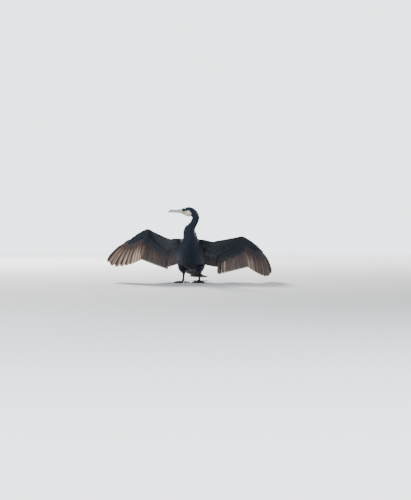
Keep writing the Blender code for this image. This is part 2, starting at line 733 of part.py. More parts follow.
def toe(side, number):
    """A toe with its joints and its claw, flat where it rests on the floor."""
    thick = TOES[number][2]
    knuckles = ((0.0, 1.5), (0.20, 1.0), (0.38, 1.14), (0.52, 0.92), (0.66, 1.04), (0.85, 0.76), (0.88, 0.58),
                (1.0, 0.10))
    table = []
    for share, width in knuckles:
        centre = toe_line(side, number, share)
        centre.z = max(thick * width * 0.82, 0.0006) if share > 0.86 else thick * width * 0.88
        table.append((centre, thick * width, thick * width * 0.95, thick * width, UP))
    return loft(rings(table, round_points=8, squareness=2.0))


def web(side, number):
    """The skin between two toes, with a hollow front edge."""
    rows = []
    for s in (0, 0.25, 0.5, 0.75, 1.0):
        reach = 1 - 0.16 * math.sin(math.pi * s)
        rows.append([
            mix(toe_line(side, number, t * reach), toe_line(side, number + 1, t * reach), s)
            - UP * 0.0014 * math.sin(math.pi * s) * t
            for t in (0.04, 0.35, 0.65, 0.86)
        ])
    for row in rows:
        for p in row:
            p.z = max(p.z * 0.55, 0.0016)
    return panel(rows, [UP] * len(rows), WEB_THICKNESS)


def floor_block():
    """The space under the floor, which flattens what stands on it."""
    bm = bmesh.new()
    bmesh.ops.create_cube(bm, size=0.4)
    bmesh.ops.translate(bm, vec=(0, 0, -0.2), verts=bm.verts)
    return as_object("floor block", bm, None, hidden=True)


def leg(name, side, trunk_cutter):
    made = leg_rings(side)
    thigh = as_object(f"thigh_{name}", loft(part_of(made, 0, ANKLE_RING, open_last=True)), PLUMAGE)
    boolean(thigh, trunk_cutter, "DIFFERENCE")
    as_object(f"tarsus_{name}", loft(part_of(made, ANKLE_RING, FOOT_RING, True, True)), WEBBING)
    pieces = [toe(side, i) for i in range(len(TOES))] + [web(side, i) for i in range(len(TOES) - 1)]
    instep = loft(part_of(made, FOOT_RING, len(made) - 1, open_first=True))
    foot = fused(f"foot_{name}", instep, pieces, WEBBING)
    boolean(foot, floor_block(), "DIFFERENCE")


def centre_on_floor():
    """Moves every node so that the middle of the footprint is the origin."""
    points = np.array([v.co for obj in model.objects for v in obj.data.vertices])
    low, high = points.min(axis=0), points.max(axis=0)
    shift = Vector((-(low[0] + high[0]) / 2, -(low[1] + high[1]) / 2, -low[2]))
    for obj in model.objects:
        obj.data.transform(Matrix.Translation(shift))


clear_scene()
model = bpy.data.collections.new("cormorant")
cutters = bpy.data.collections.new("cutters")
for collection in (model, cutters):
    bpy.context.scene.collection.children.link(collection)

body_stations = stations(BODY, BODY_STEPS)
body_rings = rings(body_stations)
trunk_last = int(NECK_ROW * BODY_STEPS)
trunk_first = TAIL_ROW * BODY_STEPS
as_object("torso", loft(part_of(body_rings, trunk_first, trunk_last, True, True)), PLUMAGE)
as_object("neck", loft(part_of(body_rings, trunk_last, HEAD_ROW * BODY_STEPS, True, True)), PLUMAGE)
grown_rings = rings(body_stations, grow=TOUCHING_GAP)[: trunk_last + 3]
grown_trunk = as_object("grown trunk", loft(grown_rings), None, hidden=True)
head(body_rings)
tail(body_rings)
for wing_name, wing_pose in WING_POSE.items():
    wing(wing_name, wing_pose, grown_trunk)
for leg_name, leg_side in (("left", 1), ("right", -1)):
    leg(leg_name, leg_side, grown_trunk)
for helper in list(cutters.objects):
    bpy.data.objects.remove(helper, do_unlink=True)
centre_on_floor()
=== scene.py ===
# %% [markdown]
# # A great cormorant drying its wings
# The solids of the bird come in as a fixed frame, in metres, and every piece below is made where they are.
# The skeleton is written out again here, because the skin, the flight feathers and the small feathers all
# take their places from it.

# %% The frame and its box
import math

import bmesh
import bpy
import numpy as np
from mathutils import Matrix, Vector
from mathutils.bvhtree import BVHTree
from mathutils.kdtree import KDTree


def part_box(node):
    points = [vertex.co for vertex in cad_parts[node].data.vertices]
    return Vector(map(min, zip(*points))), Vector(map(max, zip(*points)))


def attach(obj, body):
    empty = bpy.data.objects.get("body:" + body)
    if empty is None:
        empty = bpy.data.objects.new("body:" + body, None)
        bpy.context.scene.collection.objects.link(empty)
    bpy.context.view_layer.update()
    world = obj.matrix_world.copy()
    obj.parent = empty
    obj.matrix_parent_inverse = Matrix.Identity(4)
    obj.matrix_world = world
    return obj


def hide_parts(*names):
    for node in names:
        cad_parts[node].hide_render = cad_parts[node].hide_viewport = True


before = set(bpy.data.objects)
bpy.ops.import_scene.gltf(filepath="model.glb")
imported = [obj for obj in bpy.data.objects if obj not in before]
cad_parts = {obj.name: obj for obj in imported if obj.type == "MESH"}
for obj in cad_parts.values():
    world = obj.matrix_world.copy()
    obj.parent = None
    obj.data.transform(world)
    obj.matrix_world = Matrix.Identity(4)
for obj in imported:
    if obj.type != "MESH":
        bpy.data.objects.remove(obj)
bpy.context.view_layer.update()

# %% [markdown]
# ## Where the skeleton is
# The skeleton's numbers count from a point on the floor under the trunk. The frame was moved so that the
# middle of its footprint is the origin, so the left eye is looked up to find how far.

# %% The head's own axes and the move
UP = Vector((0, 0, 1))
FORWARD = Vector((-0.9905, -0.1375, 0)).normalized()
SIDEWAYS = UP.cross(FORWARD)
EYE_OUT, EYE_HEIGHT, EYE_RADIUS = 0.0112, 0.4245, 0.0062
EYE_PLANE = Vector((-0.013, -0.119, 0))
eye_low, eye_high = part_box("eye_left")
HOME = (eye_low + eye_high) / 2 - EYE_PLANE - SIDEWAYS * EYE_OUT - UP * EYE_HEIGHT


def placed(x, y, z):
    """A point counted from the floor under the trunk, in the frame."""
    return HOME + Vector((x, y, z))


def head_point(forward, out, height):
    return HOME + EYE_PLANE + FORWARD * forward + SIDEWAYS * out + UP * height


print("skeleton moved by", [round(c, 5) for c in HOME])

# %% [markdown]
# ## The camera
# The photograph is 411 by 500 pixels and the bird is a small part of it, 5.8 mm to a pixel. A long lens
# from nine metres keeps that framing with little perspective. It looks from 8 degrees to the bird's left.

# %% A camera with the photograph's framing
PHOTO_WIDTH, PHOTO_HEIGHT = 411, 500
METRES_PER_PIXEL = 0.0058
FOOT_PIXEL = (191.0, 282.5)
AZIMUTH, ELEVATION = math.radians(8), math.radians(1.5)
DISTANCE = 9.0
right = Vector((math.cos(AZIMUTH), math.sin(AZIMUTH), 0))
back = Vector((math.sin(AZIMUTH) * math.cos(ELEVATION), -math.cos(AZIMUTH) * math.cos(ELEVATION), math.sin(ELEVATION)))
aim = (
    HOME
    + right * (PHOTO_WIDTH / 2 - FOOT_PIXEL[0]) * METRES_PER_PIXEL
    + UP * (FOOT_PIXEL[1] - PHOTO_HEIGHT / 2) * METRES_PER_PIXEL
)
camera = bpy.data.objects.new("camera", bpy.data.cameras.new("camera"))
camera.data.sensor_width = 36.0
camera.data.lens = 36.0 * DISTANCE / (PHOTO_HEIGHT * METRES_PER_PIXEL)
camera.data.clip_end = 100
camera.location = aim + back * DISTANCE
camera.rotation_euler = (-back).to_track_quat("-Z", "Y").to_euler()
bpy.context.scene.collection.objects.link(camera)
bpy.context.scene.camera = camera
print("camera at", [round(c, 2) for c in camera.location], "lens", round(camera.data.lens, 1))

# %% [markdown]
# ## Floor and light
# A pale floor runs far past the bird. The sun stood behind it and above, and drew white edges along the
# tops of the wings, so two soft lights stand behind it, and a wide one in front fills its dark breast.


# %% A floor and four soft lights
def with_mesh(name, bm):
    mesh = bpy.data.meshes.new(name)
    bm.to_mesh(mesh)
    bm.free()
    obj = bpy.data.objects.new(name, mesh)
    bpy.context.scene.collection.objects.link(obj)
    return obj


def soft_light(name, where, size, watts, colour):
    lamp = bpy.data.lights.new(name, "AREA")
    lamp.shape, lamp.size, lamp.energy, lamp.color = "DISK", size, watts, colour
    obj = bpy.data.objects.new(name, lamp)
    obj.location = aim + Vector(where)
    obj.rotation_euler = Vector(where).to_track_quat("Z", "Y").to_euler()
    obj.visible_camera = False
    bpy.context.scene.collection.objects.link(obj)


FLOOR_RADIUS = 60.0
bm = bmesh.new()
bmesh.ops.create_circle(bm, cap_ends=True, segments=64, radius=FLOOR_RADIUS)
floor = with_mesh("floor", bm)
soft_light("fill_front", (-1.2, -3.4, 1.6), 2.6, 68, (0.88, 0.94, 1.0))
soft_light("sky", (0.0, -0.2, 3.2), 3.0, 40, (0.92, 0.96, 1.0))
soft_light("sun_back_left", (-2.4, 4.4, 2.6), 1.4, 900, (1.0, 0.97, 0.92))
soft_light("sun_back_right", (2.6, 4.4, 2.0), 1.4, 170, (1.0, 0.97, 0.92))
BACKDROP, SKY, SEEN_SKY = (0.80, 0.83, 0.87, 1), 0.62, 3.7
world = bpy.data.worlds.new("studio")
world.use_nodes = True
tree = world.node_tree
sky = tree.nodes["Background"].inputs
sky["Color"].default_value = BACKDROP
seen = tree.nodes.new("ShaderNodeLightPath").outputs["Is Camera Ray"]
strength = tree.nodes.new("ShaderNodeMapRange")
strength.inputs["To Min"].default_value, strength.inputs["To Max"].default_value = SKY, SEEN_SKY
tree.links.new(seen, strength.inputs["Value"])
tree.links.new(strength.outputs[0], sky["Strength"])
bpy.context.scene.world = world

# %% [markdown]
# ## Curves and tubes
# A limb is a row of stations, each a centre with its sizes. A Catmull-Rom curve through them adds more,
# and a grid rolled up over the rings makes a closed skin, its seam merged and its ends filled.


# %% Curves, tubes and sheets
def mix(a, b, t):
    return a * (1 - t) + b * t


def smooth(rows, steps):
    """Rows of numbers with steps - 1 more between each two, on a Catmull-Rom curve through them."""
    rows = np.array(rows, float)
    ends = np.vstack([2 * rows[0] - rows[1], rows, 2 * rows[-1] - rows[-2]])
    made = []
    for i in range(1, len(rows)):
        before, here, after, beyond = ends[i - 1 : i + 3]
        for t in np.arange(steps) / steps:
            made.append(
                here
                + 0.5 * t * (after - before)
                + t**2 * (before - 2.5 * here + 2 * after - 0.5 * beyond)
                + t**3 * (1.5 * here - 0.5 * before - 1.5 * after + 0.5 * beyond)
            )
    return np.array(made + [rows[-1]])


def tube(rings):
    """A closed skin over rings of points."""
    around, along = len(rings[0]), len(rings) - 1
    bm = bmesh.new()
    bmesh.ops.create_grid(bm, x_segments=around, y_segments=along, size=0.5)
    for vert in bm.verts:
        k, i = round((vert.co.x + 0.5) * around) % around, round((vert.co.y + 0.5) * along)
        vert.co = rings[i][k]
    bmesh.ops.remove_doubles(bm, verts=bm.verts, dist=1e-7)
    bmesh.ops.holes_fill(bm, edges=bm.edges, sides=0)
    bmesh.ops.recalc_face_normals(bm, faces=bm.faces)
    return bm


def oval(centre, along, upper, half_width, rise, fall, points, squareness=2.0):
    """A ring of points round a centre, square to a direction."""
    over = (upper - upper.dot(along) * along).normalized()
    across = along.cross(over)
    ring = []
    for k in range(points):
        angle = math.tau * (k + 0.5) / points
        c, s = math.cos(angle), math.sin(angle)
        c = math.copysign(abs(c) ** (2 / squareness), c)
        s = math.copysign(abs(s) ** (2 / squareness), s)
        ring.append(centre + across * (c * half_width) + over * (s * (rise if s > 0 else fall)))
    return ring


def limb_tube(table, steps, points, squareness=2.0):
    """A tube over stations of centre, half width, rise, fall and upper side."""
    rows = smooth([(*centre, half, rise, fall, *upper) for centre, half, rise, fall, upper in table], steps)
    rings = []
    for i, row in enumerate(rows):
        before, after = rows[max(i - 1, 0)], rows[min(i + 1, len(rows) - 1)]
        along = Vector(after[:3] - before[:3]).normalized()
        rings.append(oval(Vector(row[:3]), along, Vector(row[6:9]), *row[3:6], points, squareness))
    return tube(rings)


def join(pieces):
    """One bmesh with everything in several."""
    whole = bmesh.new()
    for piece in pieces:
        mesh = bpy.data.meshes.new("passing")
        piece.to_mesh(mesh)
        piece.free()
        whole.from_mesh(mesh)
        bpy.data.meshes.remove(mesh)
    return whole


def finished(name, bm, body="root", look=None, nodes=()):
    """A piece of the bird, shaded smooth, that rides on the frame and stands for solids."""
    obj = with_mesh(name, bm)
    obj.data.shade_smooth()
    if look:
        obj.data.materials.append(look)
    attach(obj, body)
    if nodes:
        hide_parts(*nodes)
    return obj

# %% [markdown]
# ## The skeleton
# One line runs from the tail root through the trunk and the bent neck to the bill. Each wing hangs on three
# bones, of which the wrist's place and the bend of the elbow are known from the photograph. Each leg is a
# knee, an ankle and the root of the toes.

# %% Stations of the body, bones of the wings and legs
BODY = (
    ((0, 0.188, 0.040), 0.016, 0.0055, 0.0055, (0, 0.3, 1)),
    ((0, 0.158, 0.049), 0.027, 0.015, 0.015, (0, 0.4, 1)),
    ((0, 0.135, 0.057), 0.036, 0.023, 0.024, (0, 0.4, 1)),
    ((0, 0.110, 0.067), 0.051, 0.035, 0.029, (0, 0.5, 1)),
    ((0, 0.080, 0.083), 0.068, 0.050, 0.040, (0, 0.6, 1)),
    ((0, 0.045, 0.107), 0.080, 0.062, 0.054, (0, 0.7, 1)),
    ((0, 0.008, 0.137), 0.085, 0.070, 0.073, (0, 0.8, 1)),
    ((0.002, -0.030, 0.169), 0.084, 0.069, 0.072, (0, 0.9, 1)),
    ((0.005, -0.068, 0.201), 0.076, 0.062, 0.066, (0, 1, 1)),
    ((0.009, -0.098, 0.228), 0.060, 0.052, 0.055, (0.05, 1, 0.8)),
    ((0.013, -0.118, 0.249), 0.047, 0.044, 0.047, (0.15, 1, 0.5)),
    ((0.0145, -0.127, 0.268), 0.041, 0.040, 0.041, (0.3, 1, 0.3)),
    ((0.0105, -0.135, 0.299), 0.0345, 0.0345, 0.0345, (0.5, 0.9, 0.1)),
    ((0.0195, -0.138, 0.323), 0.0280, 0.0275, 0.0280, (0.75, 0.65, 0)),
    ((0.0385, -0.132, 0.351), 0.0225, 0.0225, 0.0225, (1, 0.4, 0.1)),
    ((0.0465, -0.122, 0.378), 0.0215, 0.022, 0.022, (1, 0.2, 0.3)),
    ((0.033, -0.1125, 0.401), 0.0215, 0.0230, 0.0230, (0.7, 0.1, 0.8)),
    ((0.010, -0.116, 0.413), 0.0205, 0.0258, 0.0320, (0, 0, 1)),
    ((-0.013, -0.119, 0.416), 0.0172, 0.0208, 0.0295, (0, 0, 1)),
    ((-0.0335, -0.122, 0.4145), 0.0105, 0.0150, 0.0175, (0, 0, 1)),
)
HUMERUS, ULNA, HAND = 0.150, 0.165, 0.118
KNEE, ANKLE, TOE_ROOT = (0.045, -0.004, 0.098), (0.047, 0.032, 0.053), (0.047, 0.004, 0.0085)
SIDES = {"left": 1, "right": -1}


def on_side(side, x, y, z):
    return placed(SIDES[side] * x, y, z)


SHOULDER = {side: on_side(side, 0.062, -0.070, 0.232) for side in SIDES}
WINGS = {
    "left": {
        "wrist": placed(0.300, 0.010, 0.256),
        "elbow_towards": Vector((0, 0.75, -0.66)),
        "hand": Vector((0.731, 0.476, -0.490)),
        "outer_primary": Vector((0.315, 0.630, -0.710)),
        "inner_primary": Vector((0.140, 0.444, -0.885)),
        "inner_secondary": Vector((-0.079, 0.565, -0.820)),
        "outer_tertial": Vector((-0.100, 0.713, -0.690)),
        "inner_tertial": Vector((-0.190, 0.610, -0.770)),
        "edge": (placed(0.128, -0.062, 0.238), placed(0.166, -0.038, 0.245)),
    },
    "right": {
        "wrist": placed(-0.250, -0.030, 0.298),
        "elbow_towards": Vector((0, 0.80, -0.55)),
        "hand": Vector((-0.868, 0.211, -0.450)),
        "outer_primary": Vector((-0.745, 0.274, -0.600)),
        "inner_primary": Vector((-0.291, 0.383, -0.876)),
        "inner_secondary": Vector((-0.121, 0.649, -0.750)),
        "outer_tertial": Vector((-0.100, 0.590, -0.800)),
        "inner_tertial": Vector((0.016, 0.608, -0.790)),
        "edge": (placed(-0.112, -0.075, 0.254), placed(-0.160, -0.058, 0.272)),
    },
}


def two_bones(start, end, first, second, towards):
    """Where two bones of given lengths meet, bent towards a direction."""
    span = end - start
    reach = span.length
    line = span / reach
    foot = (first**2 - second**2 + reach**2) / (2 * reach)
    bend = (towards - towards.dot(line) * line).normalized()
    return start + line * foot + bend * math.sqrt(first**2 - foot**2)


for side, pose in WINGS.items():
    pose["shoulder"] = SHOULDER[side]
    pose["elbow"] = two_bones(SHOULDER[side], pose["wrist"], HUMERUS, ULNA, pose["elbow_towards"])
    pose["tip"] = pose["wrist"] + pose["hand"].normalized() * HAND
    print(side, "elbow at", [round(c, 3) for c in pose["elbow"]])

# %% [markdown]
# ## The arm of each wing
# An arm is thick round its bones and thin over the fold of skin in front of them, so each cross-section is
# a list of shares of the chord with a half thickness, and the tube goes over all of them.

# %% Cross-sections of the arm
ARM_PROFILE = ((-1.0, 0.35), (-0.55, 0.85), (0.0, 1.0), (0.22, 0.62), (0.55, 0.30), (0.86, 0.26), (1.0, 0.14))
THINNEST_ARM = 0.0014
ARM_STEPS = 4


def arm_section(bone, leading, normal, bone_radius):
    chord = leading - bone
    upper, lower = [], []
    for share, thick in smooth(ARM_PROFILE, 2):
        place = bone + (chord * share if share > 0 else chord.normalized() * share * bone_radius)
        half = normal * max(thick * bone_radius, THINNEST_ARM)
        upper.append(place + half)
        lower.append(place - half)
    return upper + lower[::-1]


def arm(side, thinner=0.0):
    """A closed skin from inside the trunk out along the hand, thinner all round by some depth."""
    pose, sign = WINGS[side], SIDES[side]
    shoulder, elbow, wrist, tip = (pose[key] for key in ("shoulder", "elbow", "wrist", "tip"))
    hand, outer = (tip - wrist).normalized(), pose["outer_primary"].normalized()
    fold = shoulder + Vector((sign * 0.004, -0.020, 0.026))
    dip, edge_elbow = pose["edge"]
    edge_wrist = wrist + Vector((0, -0.004, 0.0135))
    inside = Vector((-sign * 0.030, 0, 0))
    table = (
        (shoulder + inside, fold + inside, 0.0150),
        (mix(shoulder, elbow, 0.30), mix(fold, dip, 0.50), 0.0155),
        (mix(shoulder, elbow, 0.65), dip, 0.0145),
        (elbow, edge_elbow, 0.0130),
        (mix(elbow, wrist, 0.35), mix(edge_elbow, edge_wrist, 0.38), 0.0130),
        (mix(elbow, wrist, 0.70), mix(edge_elbow, edge_wrist, 0.72), 0.0115),
        (wrist, edge_wrist, 0.0100),
        (wrist + hand * 0.045, wrist + hand * 0.050 + Vector((0, -0.003, 0.0160)), 0.0088),
        (wrist + hand * 0.085, wrist + hand * 0.090 + Vector((0, -0.002, 0.0130)), 0.0075),
        (tip, tip + Vector((0, -0.001, 0.0090)), 0.0050),
        (tip + outer * 0.050, tip + outer * 0.052 + Vector((0, 0, 0.0050)), 0.0016),
    )
    flat = smooth([(*bone, *leading, radius) for bone, leading, radius in table], ARM_STEPS)
    rings = []
    for i, row in enumerate(flat):
        before, after = flat[max(i - 1, 0)], flat[min(i + 1, len(flat) - 1)]
        bone, leading = Vector(row[:3]), Vector(row[3:6])
        along = Vector((after[:3] + after[3:6]) - (before[:3] + before[3:6])).normalized()
        normal = along.cross(leading - bone).normalized()
        normal = normal if normal.y > 0 else -normal
        leading -= (leading - bone).normalized() * thinner
        rings.append(arm_section(bone, leading, normal, max(row[6] - thinner, 0.0012)))
    return tube(rings)


# %% [markdown]
# ## One skin
# The solids of the flesh meet in seams, so copies of them are joined with the arms, and a voxel remesh
# makes one surface of it all. Smoothing takes out the facets, and every point then sinks by the depth of
# the feathers that lie over it, so that the bird doesn't grow.

# %% Limb lines, used to tell which limb a point of the skin is on
FLESH = ("head", "neck", "torso", "thigh_left", "thigh_right", "gular_pouch")
SKIN_VOXEL, TAIL_ROOT_STATIONS = 0.0022, 3
BODY_STEPS = 4
body_rows = smooth([(*placed(*centre), half, rise, fall, *upper) for centre, half, rise, fall, upper in BODY], BODY_STEPS)


class Limb:
    """A line of points with a radius at each, from where its feathers point to where they start."""

    def __init__(self, points, radii):
        self.points, self.radii = np.array(points, float), np.array(radii, float)
        self.steps = np.diff(self.points, axis=0)
        self.lengths = np.linalg.norm(self.steps, axis=1)

    def nearest(self, spots):
        """For each spot: distance beyond the limb's radius, share along it, and the nearest point."""
        best = np.full(len(spots), np.inf)
        share = np.zeros(len(spots))
        foot = np.zeros((len(spots), 3))
        for i, step in enumerate(self.steps):
            t = np.clip((spots - self.points[i]) @ step / self.lengths[i] ** 2, 0, 1)
            here = self.points[i] + t[:, None] * step
            away = np.linalg.norm(spots - here, axis=1) - mix(self.radii[i], self.radii[i + 1], t)
            nearer = away < best
            best[nearer] = away[nearer]
            share[nearer] = (i + t[nearer]) / len(self.steps)
            foot[nearer] = here[nearer]
        return best, share, foot


limbs = {"body": Limb(body_rows[:, :3], body_rows[:, 3])}
for side, pose in WINGS.items():
    line = [mix(pose["shoulder"], pose["elbow"], t) for t in (0.0, 0.5)] + [
        mix(pose["elbow"], pose["wrist"], t) for t in (0.0, 0.5)
    ]
    line += [mix(pose["wrist"], pose["tip"], t) for t in (0.0, 0.5, 1.0)]
    limbs[f"wing_{side}"] = Limb(line, [0.018, 0.026, 0.034, 0.024, 0.014, 0.012, 0.009])
    limbs[f"thigh_{side}"] = Limb([on_side(side, *KNEE), on_side(side, *ANKLE)], [0.036, 0.010])


def limb_of(spots):
    """The name of the limb that each spot is nearest to, and its share along that limb."""
    names = list(limbs)
    found = [limbs[name].nearest(spots) for name in names]
    which = np.argmin([f[0] for f in found], axis=0)
    rows = np.arange(len(spots))
    share = np.array([f[1] for f in found])[which, rows]
    foot = np.array([f[2] for f in found])[which, rows]
    return np.array(names)[which], share, foot


print("limbs:", ", ".join(limbs))

# %% The skin itself
HEAD_SHARE, NECK_SHARE, TRUNK_SHARE = 15.5 / 19, 11 / 19, 2 / 19
COAT_DEPTH = {"head": 0.0006, "neck": 0.0012, "trunk": 0.0022, "wing": 0.0008, "thigh": 0.0012}


def coat_depths(spots):
    """How thick the feathers are over each spot of the skin."""
    names, share, _ = limb_of(spots)
    body = np.interp(
        share,
        (0, TRUNK_SHARE, NECK_SHARE - 0.1, NECK_SHARE, HEAD_SHARE - 0.04, HEAD_SHARE + 0.02),
        [COAT_DEPTH[k] for k in ("wing", "trunk", "trunk", "neck", "neck", "head")],
    )
    wing = np.char.startswith(names, "wing")
    thigh = np.char.startswith(names, "thigh")
    return np.where(wing, COAT_DEPTH["wing"], np.where(thigh, COAT_DEPTH["thigh"], body))


def copy_of(node):
    bm = bmesh.new()
    bm.from_mesh(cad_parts[node].data)
    bmesh.ops.remove_doubles(bm, verts=bm.verts, dist=1e-6)
    return bm


tail_root = limb_tube([(placed(*centre), *sizes) for centre, *sizes in BODY[:TAIL_ROOT_STATIONS]], BODY_STEPS, 24)
flesh = join([copy_of(node) for node in FLESH] + [tail_root] + [arm(side) for side in SIDES])
skin = with_mesh("skin", flesh)
remesh = skin.modifiers.new("remesh", "REMESH")
remesh.mode, remesh.voxel_size = "VOXEL", SKIN_VOXEL
graph = bpy.context.evaluated_depsgraph_get()
bm = bmesh.new()
bm.from_mesh(bpy.data.meshes.new_from_object(skin.evaluated_get(graph)))
skin.modifiers.clear()
for _ in range(4):
    bmesh.ops.smooth_vert(bm, verts=bm.verts, factor=0.5, use_axis_x=True, use_axis_y=True, use_axis_z=True)
bm.normal_update()
depths = coat_depths(np.array([v.co for v in bm.verts]))
for vert, depth in zip(bm.verts, depths):
    vert.co -= vert.normal * depth
bm.normal_update()
bm.to_mesh(skin.data)
bm.free()
skin.data.shade_smooth()
print("skin:", len(skin.data.polygons), "faces")

# %% [markdown]
# ## Finishes
# Every feather carries a map named vane, across it from leading edge to trailing edge and along it from
# root to tip. One node group turns that map into a shaft, a margin and the fine slanting barbs, and each
# plumage material places it with its own values. A feather's own colour is an attribute named tint.


# %% Helpers for shader nodes
def add_node(tree, kind, inputs=(), **settings):
    """A node with its settings, and with values or links for the inputs named."""
    node = tree.nodes.new(kind)
    for key, value in settings.items():
        setattr(node, key, value)
    for key, value in dict(inputs).items():
        if isinstance(value, bpy.types.NodeSocket):
            tree.links.new(value, node.inputs[key])
        else:
            node.inputs[key].default_value = value
    return node


def math_node(tree, operation, *values):
    return add_node(tree, "ShaderNodeMath", dict(enumerate(values)), operation=operation).outputs[0]


def span(tree, value, from_low, from_high, low=0.0, high=1.0):
    """Map Range, smooth and held at its ends."""
    inputs = {"Value": value, "From Min": from_low, "From Max": from_high, "To Min": low, "To Max": high}
    return add_node(tree, "ShaderNodeMapRange", inputs, interpolation_type="SMOOTHSTEP").outputs[0]


def blend_colours(tree, share, first, second, kind="MIX"):
    inputs = {0: share, 6: first, 7: second}
    return add_node(tree, "ShaderNodeMix", inputs, data_type="RGBA", blend_type=kind).outputs[2]


def noise(tree, vector, scale, detail=3.0, roughness=0.55):
    inputs = {"Vector": vector, "Scale": scale, "Detail": detail, "Roughness": roughness}
    return add_node(tree, "ShaderNodeTexNoise", inputs).outputs["Fac"]


def new_group(name, inputs, outputs):
    """A shader group with its named inputs and outputs. Gives the tree, its input node and its output node."""
    tree = bpy.data.node_groups.new(name, "ShaderNodeTree")
    for label, kind, default in inputs:
        socket = tree.interface.new_socket(label, in_out="INPUT", socket_type=kind)
        if default is not None:
            socket.default_value = default
    for label, kind in outputs:
        tree.interface.new_socket(label, in_out="OUTPUT", socket_type=kind)
    return tree, tree.nodes.new("NodeGroupInput"), tree.nodes.new("NodeGroupOutput")


def principled(name, **values):
    """A material with its shader's constants set. Gives the material, its tree and the shader."""
    look = bpy.data.materials.new(name)
    look.use_nodes = True
    shader = look.node_tree.nodes["Principled BSDF"]
    for key, value in values.items():
        shader.inputs[key.replace("_", " ")].default_value = value
    return look, look.node_tree, shader


def bump(tree, shader, height, strength, distance):
    inputs = {"Height": height, "Strength": strength, "Distance": distance}
    tree.links.new(add_node(tree, "ShaderNodeBump", inputs).outputs[0], shader.inputs["Normal"])


# %% The vane group
tree, given, result = new_group(
    "vane pattern",
    [
        ("Vane", "NodeSocketVector", None),
        ("Shaft Width", "NodeSocketFloat", 0.08),
        ("Margin Width", "NodeSocketFloat", 0.2),
        ("Barbs", "NodeSocketFloat", 40.0),
    ],
    [
        ("Shaft", "NodeSocketFloat"),
        ("Margin", "NodeSocketFloat"),
        ("Trailing", "NodeSocketFloat"),
        ("Along", "NodeSocketFloat"),
        ("Height", "NodeSocketFloat"),
    ],
)
parts = add_node(tree, "ShaderNodeSeparateXYZ", {0: given.outputs["Vane"]}).outputs
offset = math_node(tree, "SUBTRACT", parts[0], 0.5)
away = math_node(tree, "MULTIPLY", math_node(tree, "ABSOLUTE", offset), 2.0)
shaft = span(tree, away, given.outputs["Shaft Width"], 0.0)
inner_edge = math_node(tree, "SUBTRACT", 1.0, given.outputs["Margin Width"])
margin = span(tree, math_node(tree, "MAXIMUM", away, parts[1]), inner_edge, 1.0)
trailing = span(tree, offset, 0.02, 0.30)
slanted = math_node(tree, "SUBTRACT", parts[1], math_node(tree, "MULTIPLY", away, 0.12))
wave = math_node(tree, "SINE", math_node(tree, "MULTIPLY", math_node(tree, "MULTIPLY", slanted, given.outputs["Barbs"]), math.tau))
height = math_node(tree, "ADD", math_node(tree, "MULTIPLY", wave, 0.15), math_node(tree, "MULTIPLY", shaft, 0.8))
for label, socket in zip(("Shaft", "Margin", "Trailing", "Along", "Height"), (shaft, margin, trailing, parts[1], height)):
    tree.links.new(socket, result.inputs[label])
vane_group = tree
print("vane group:", len(tree.nodes), "nodes")


# %% [markdown]
# ## Plumage and flight feathers
# Body feathers are black with a faint blue gloss. Those of the upper wing and shoulders are bronze with a
# black edge, so each feather's tint says in its alpha how dark its margin is. The flight feathers let light
# through: under the wing their trailing vanes are a warm brown, paler towards the edge, beside dark shafts,
# and the pale streaks towards their tips are partly wear and partly painted sunlight shining through them.


# %% Materials of feathers
GLOSS = (0.47, 0.66, 0.98, 1)


def vane_outputs(tree, shaft_width, margin_width, barbs):
    vane = add_node(tree, "ShaderNodeUVMap", uv_map="vane").outputs[0]
    inputs = {"Vane": vane, "Shaft Width": shaft_width, "Margin Width": margin_width, "Barbs": barbs}
    node = add_node(tree, "ShaderNodeGroup", node_tree=vane_group)
    for key, value in inputs.items():
        if isinstance(value, bpy.types.NodeSocket):
            tree.links.new(value, node.inputs[key])
        else:
            node.inputs[key].default_value = value
    return node.outputs


def plumage(name, roughness, shaft_width, margin_width, barbs, depth, gloss=0.5, sheen=GLOSS):
    """Small feathers: the tint with a dark margin and a slightly raised shaft."""
    look, tree, shader = principled(name, Roughness=roughness, Specular_IOR_Level=gloss, Specular_Tint=sheen)
    out = vane_outputs(tree, shaft_width, margin_width, barbs)
    tint = add_node(tree, "ShaderNodeAttribute", attribute_name="tint").outputs
    edge = math_node(tree, "MULTIPLY", out["Margin"], tint["Alpha"])
    dark = blend_colours(tree, 1.0, tint["Color"], (0.10, 0.11, 0.14, 1), "MULTIPLY")
    colour = blend_colours(tree, edge, tint["Color"], dark)
    tree.links.new(colour, shader.inputs["Base Color"])
    bump(tree, shader, out["Height"], 0.5, depth)
    return look


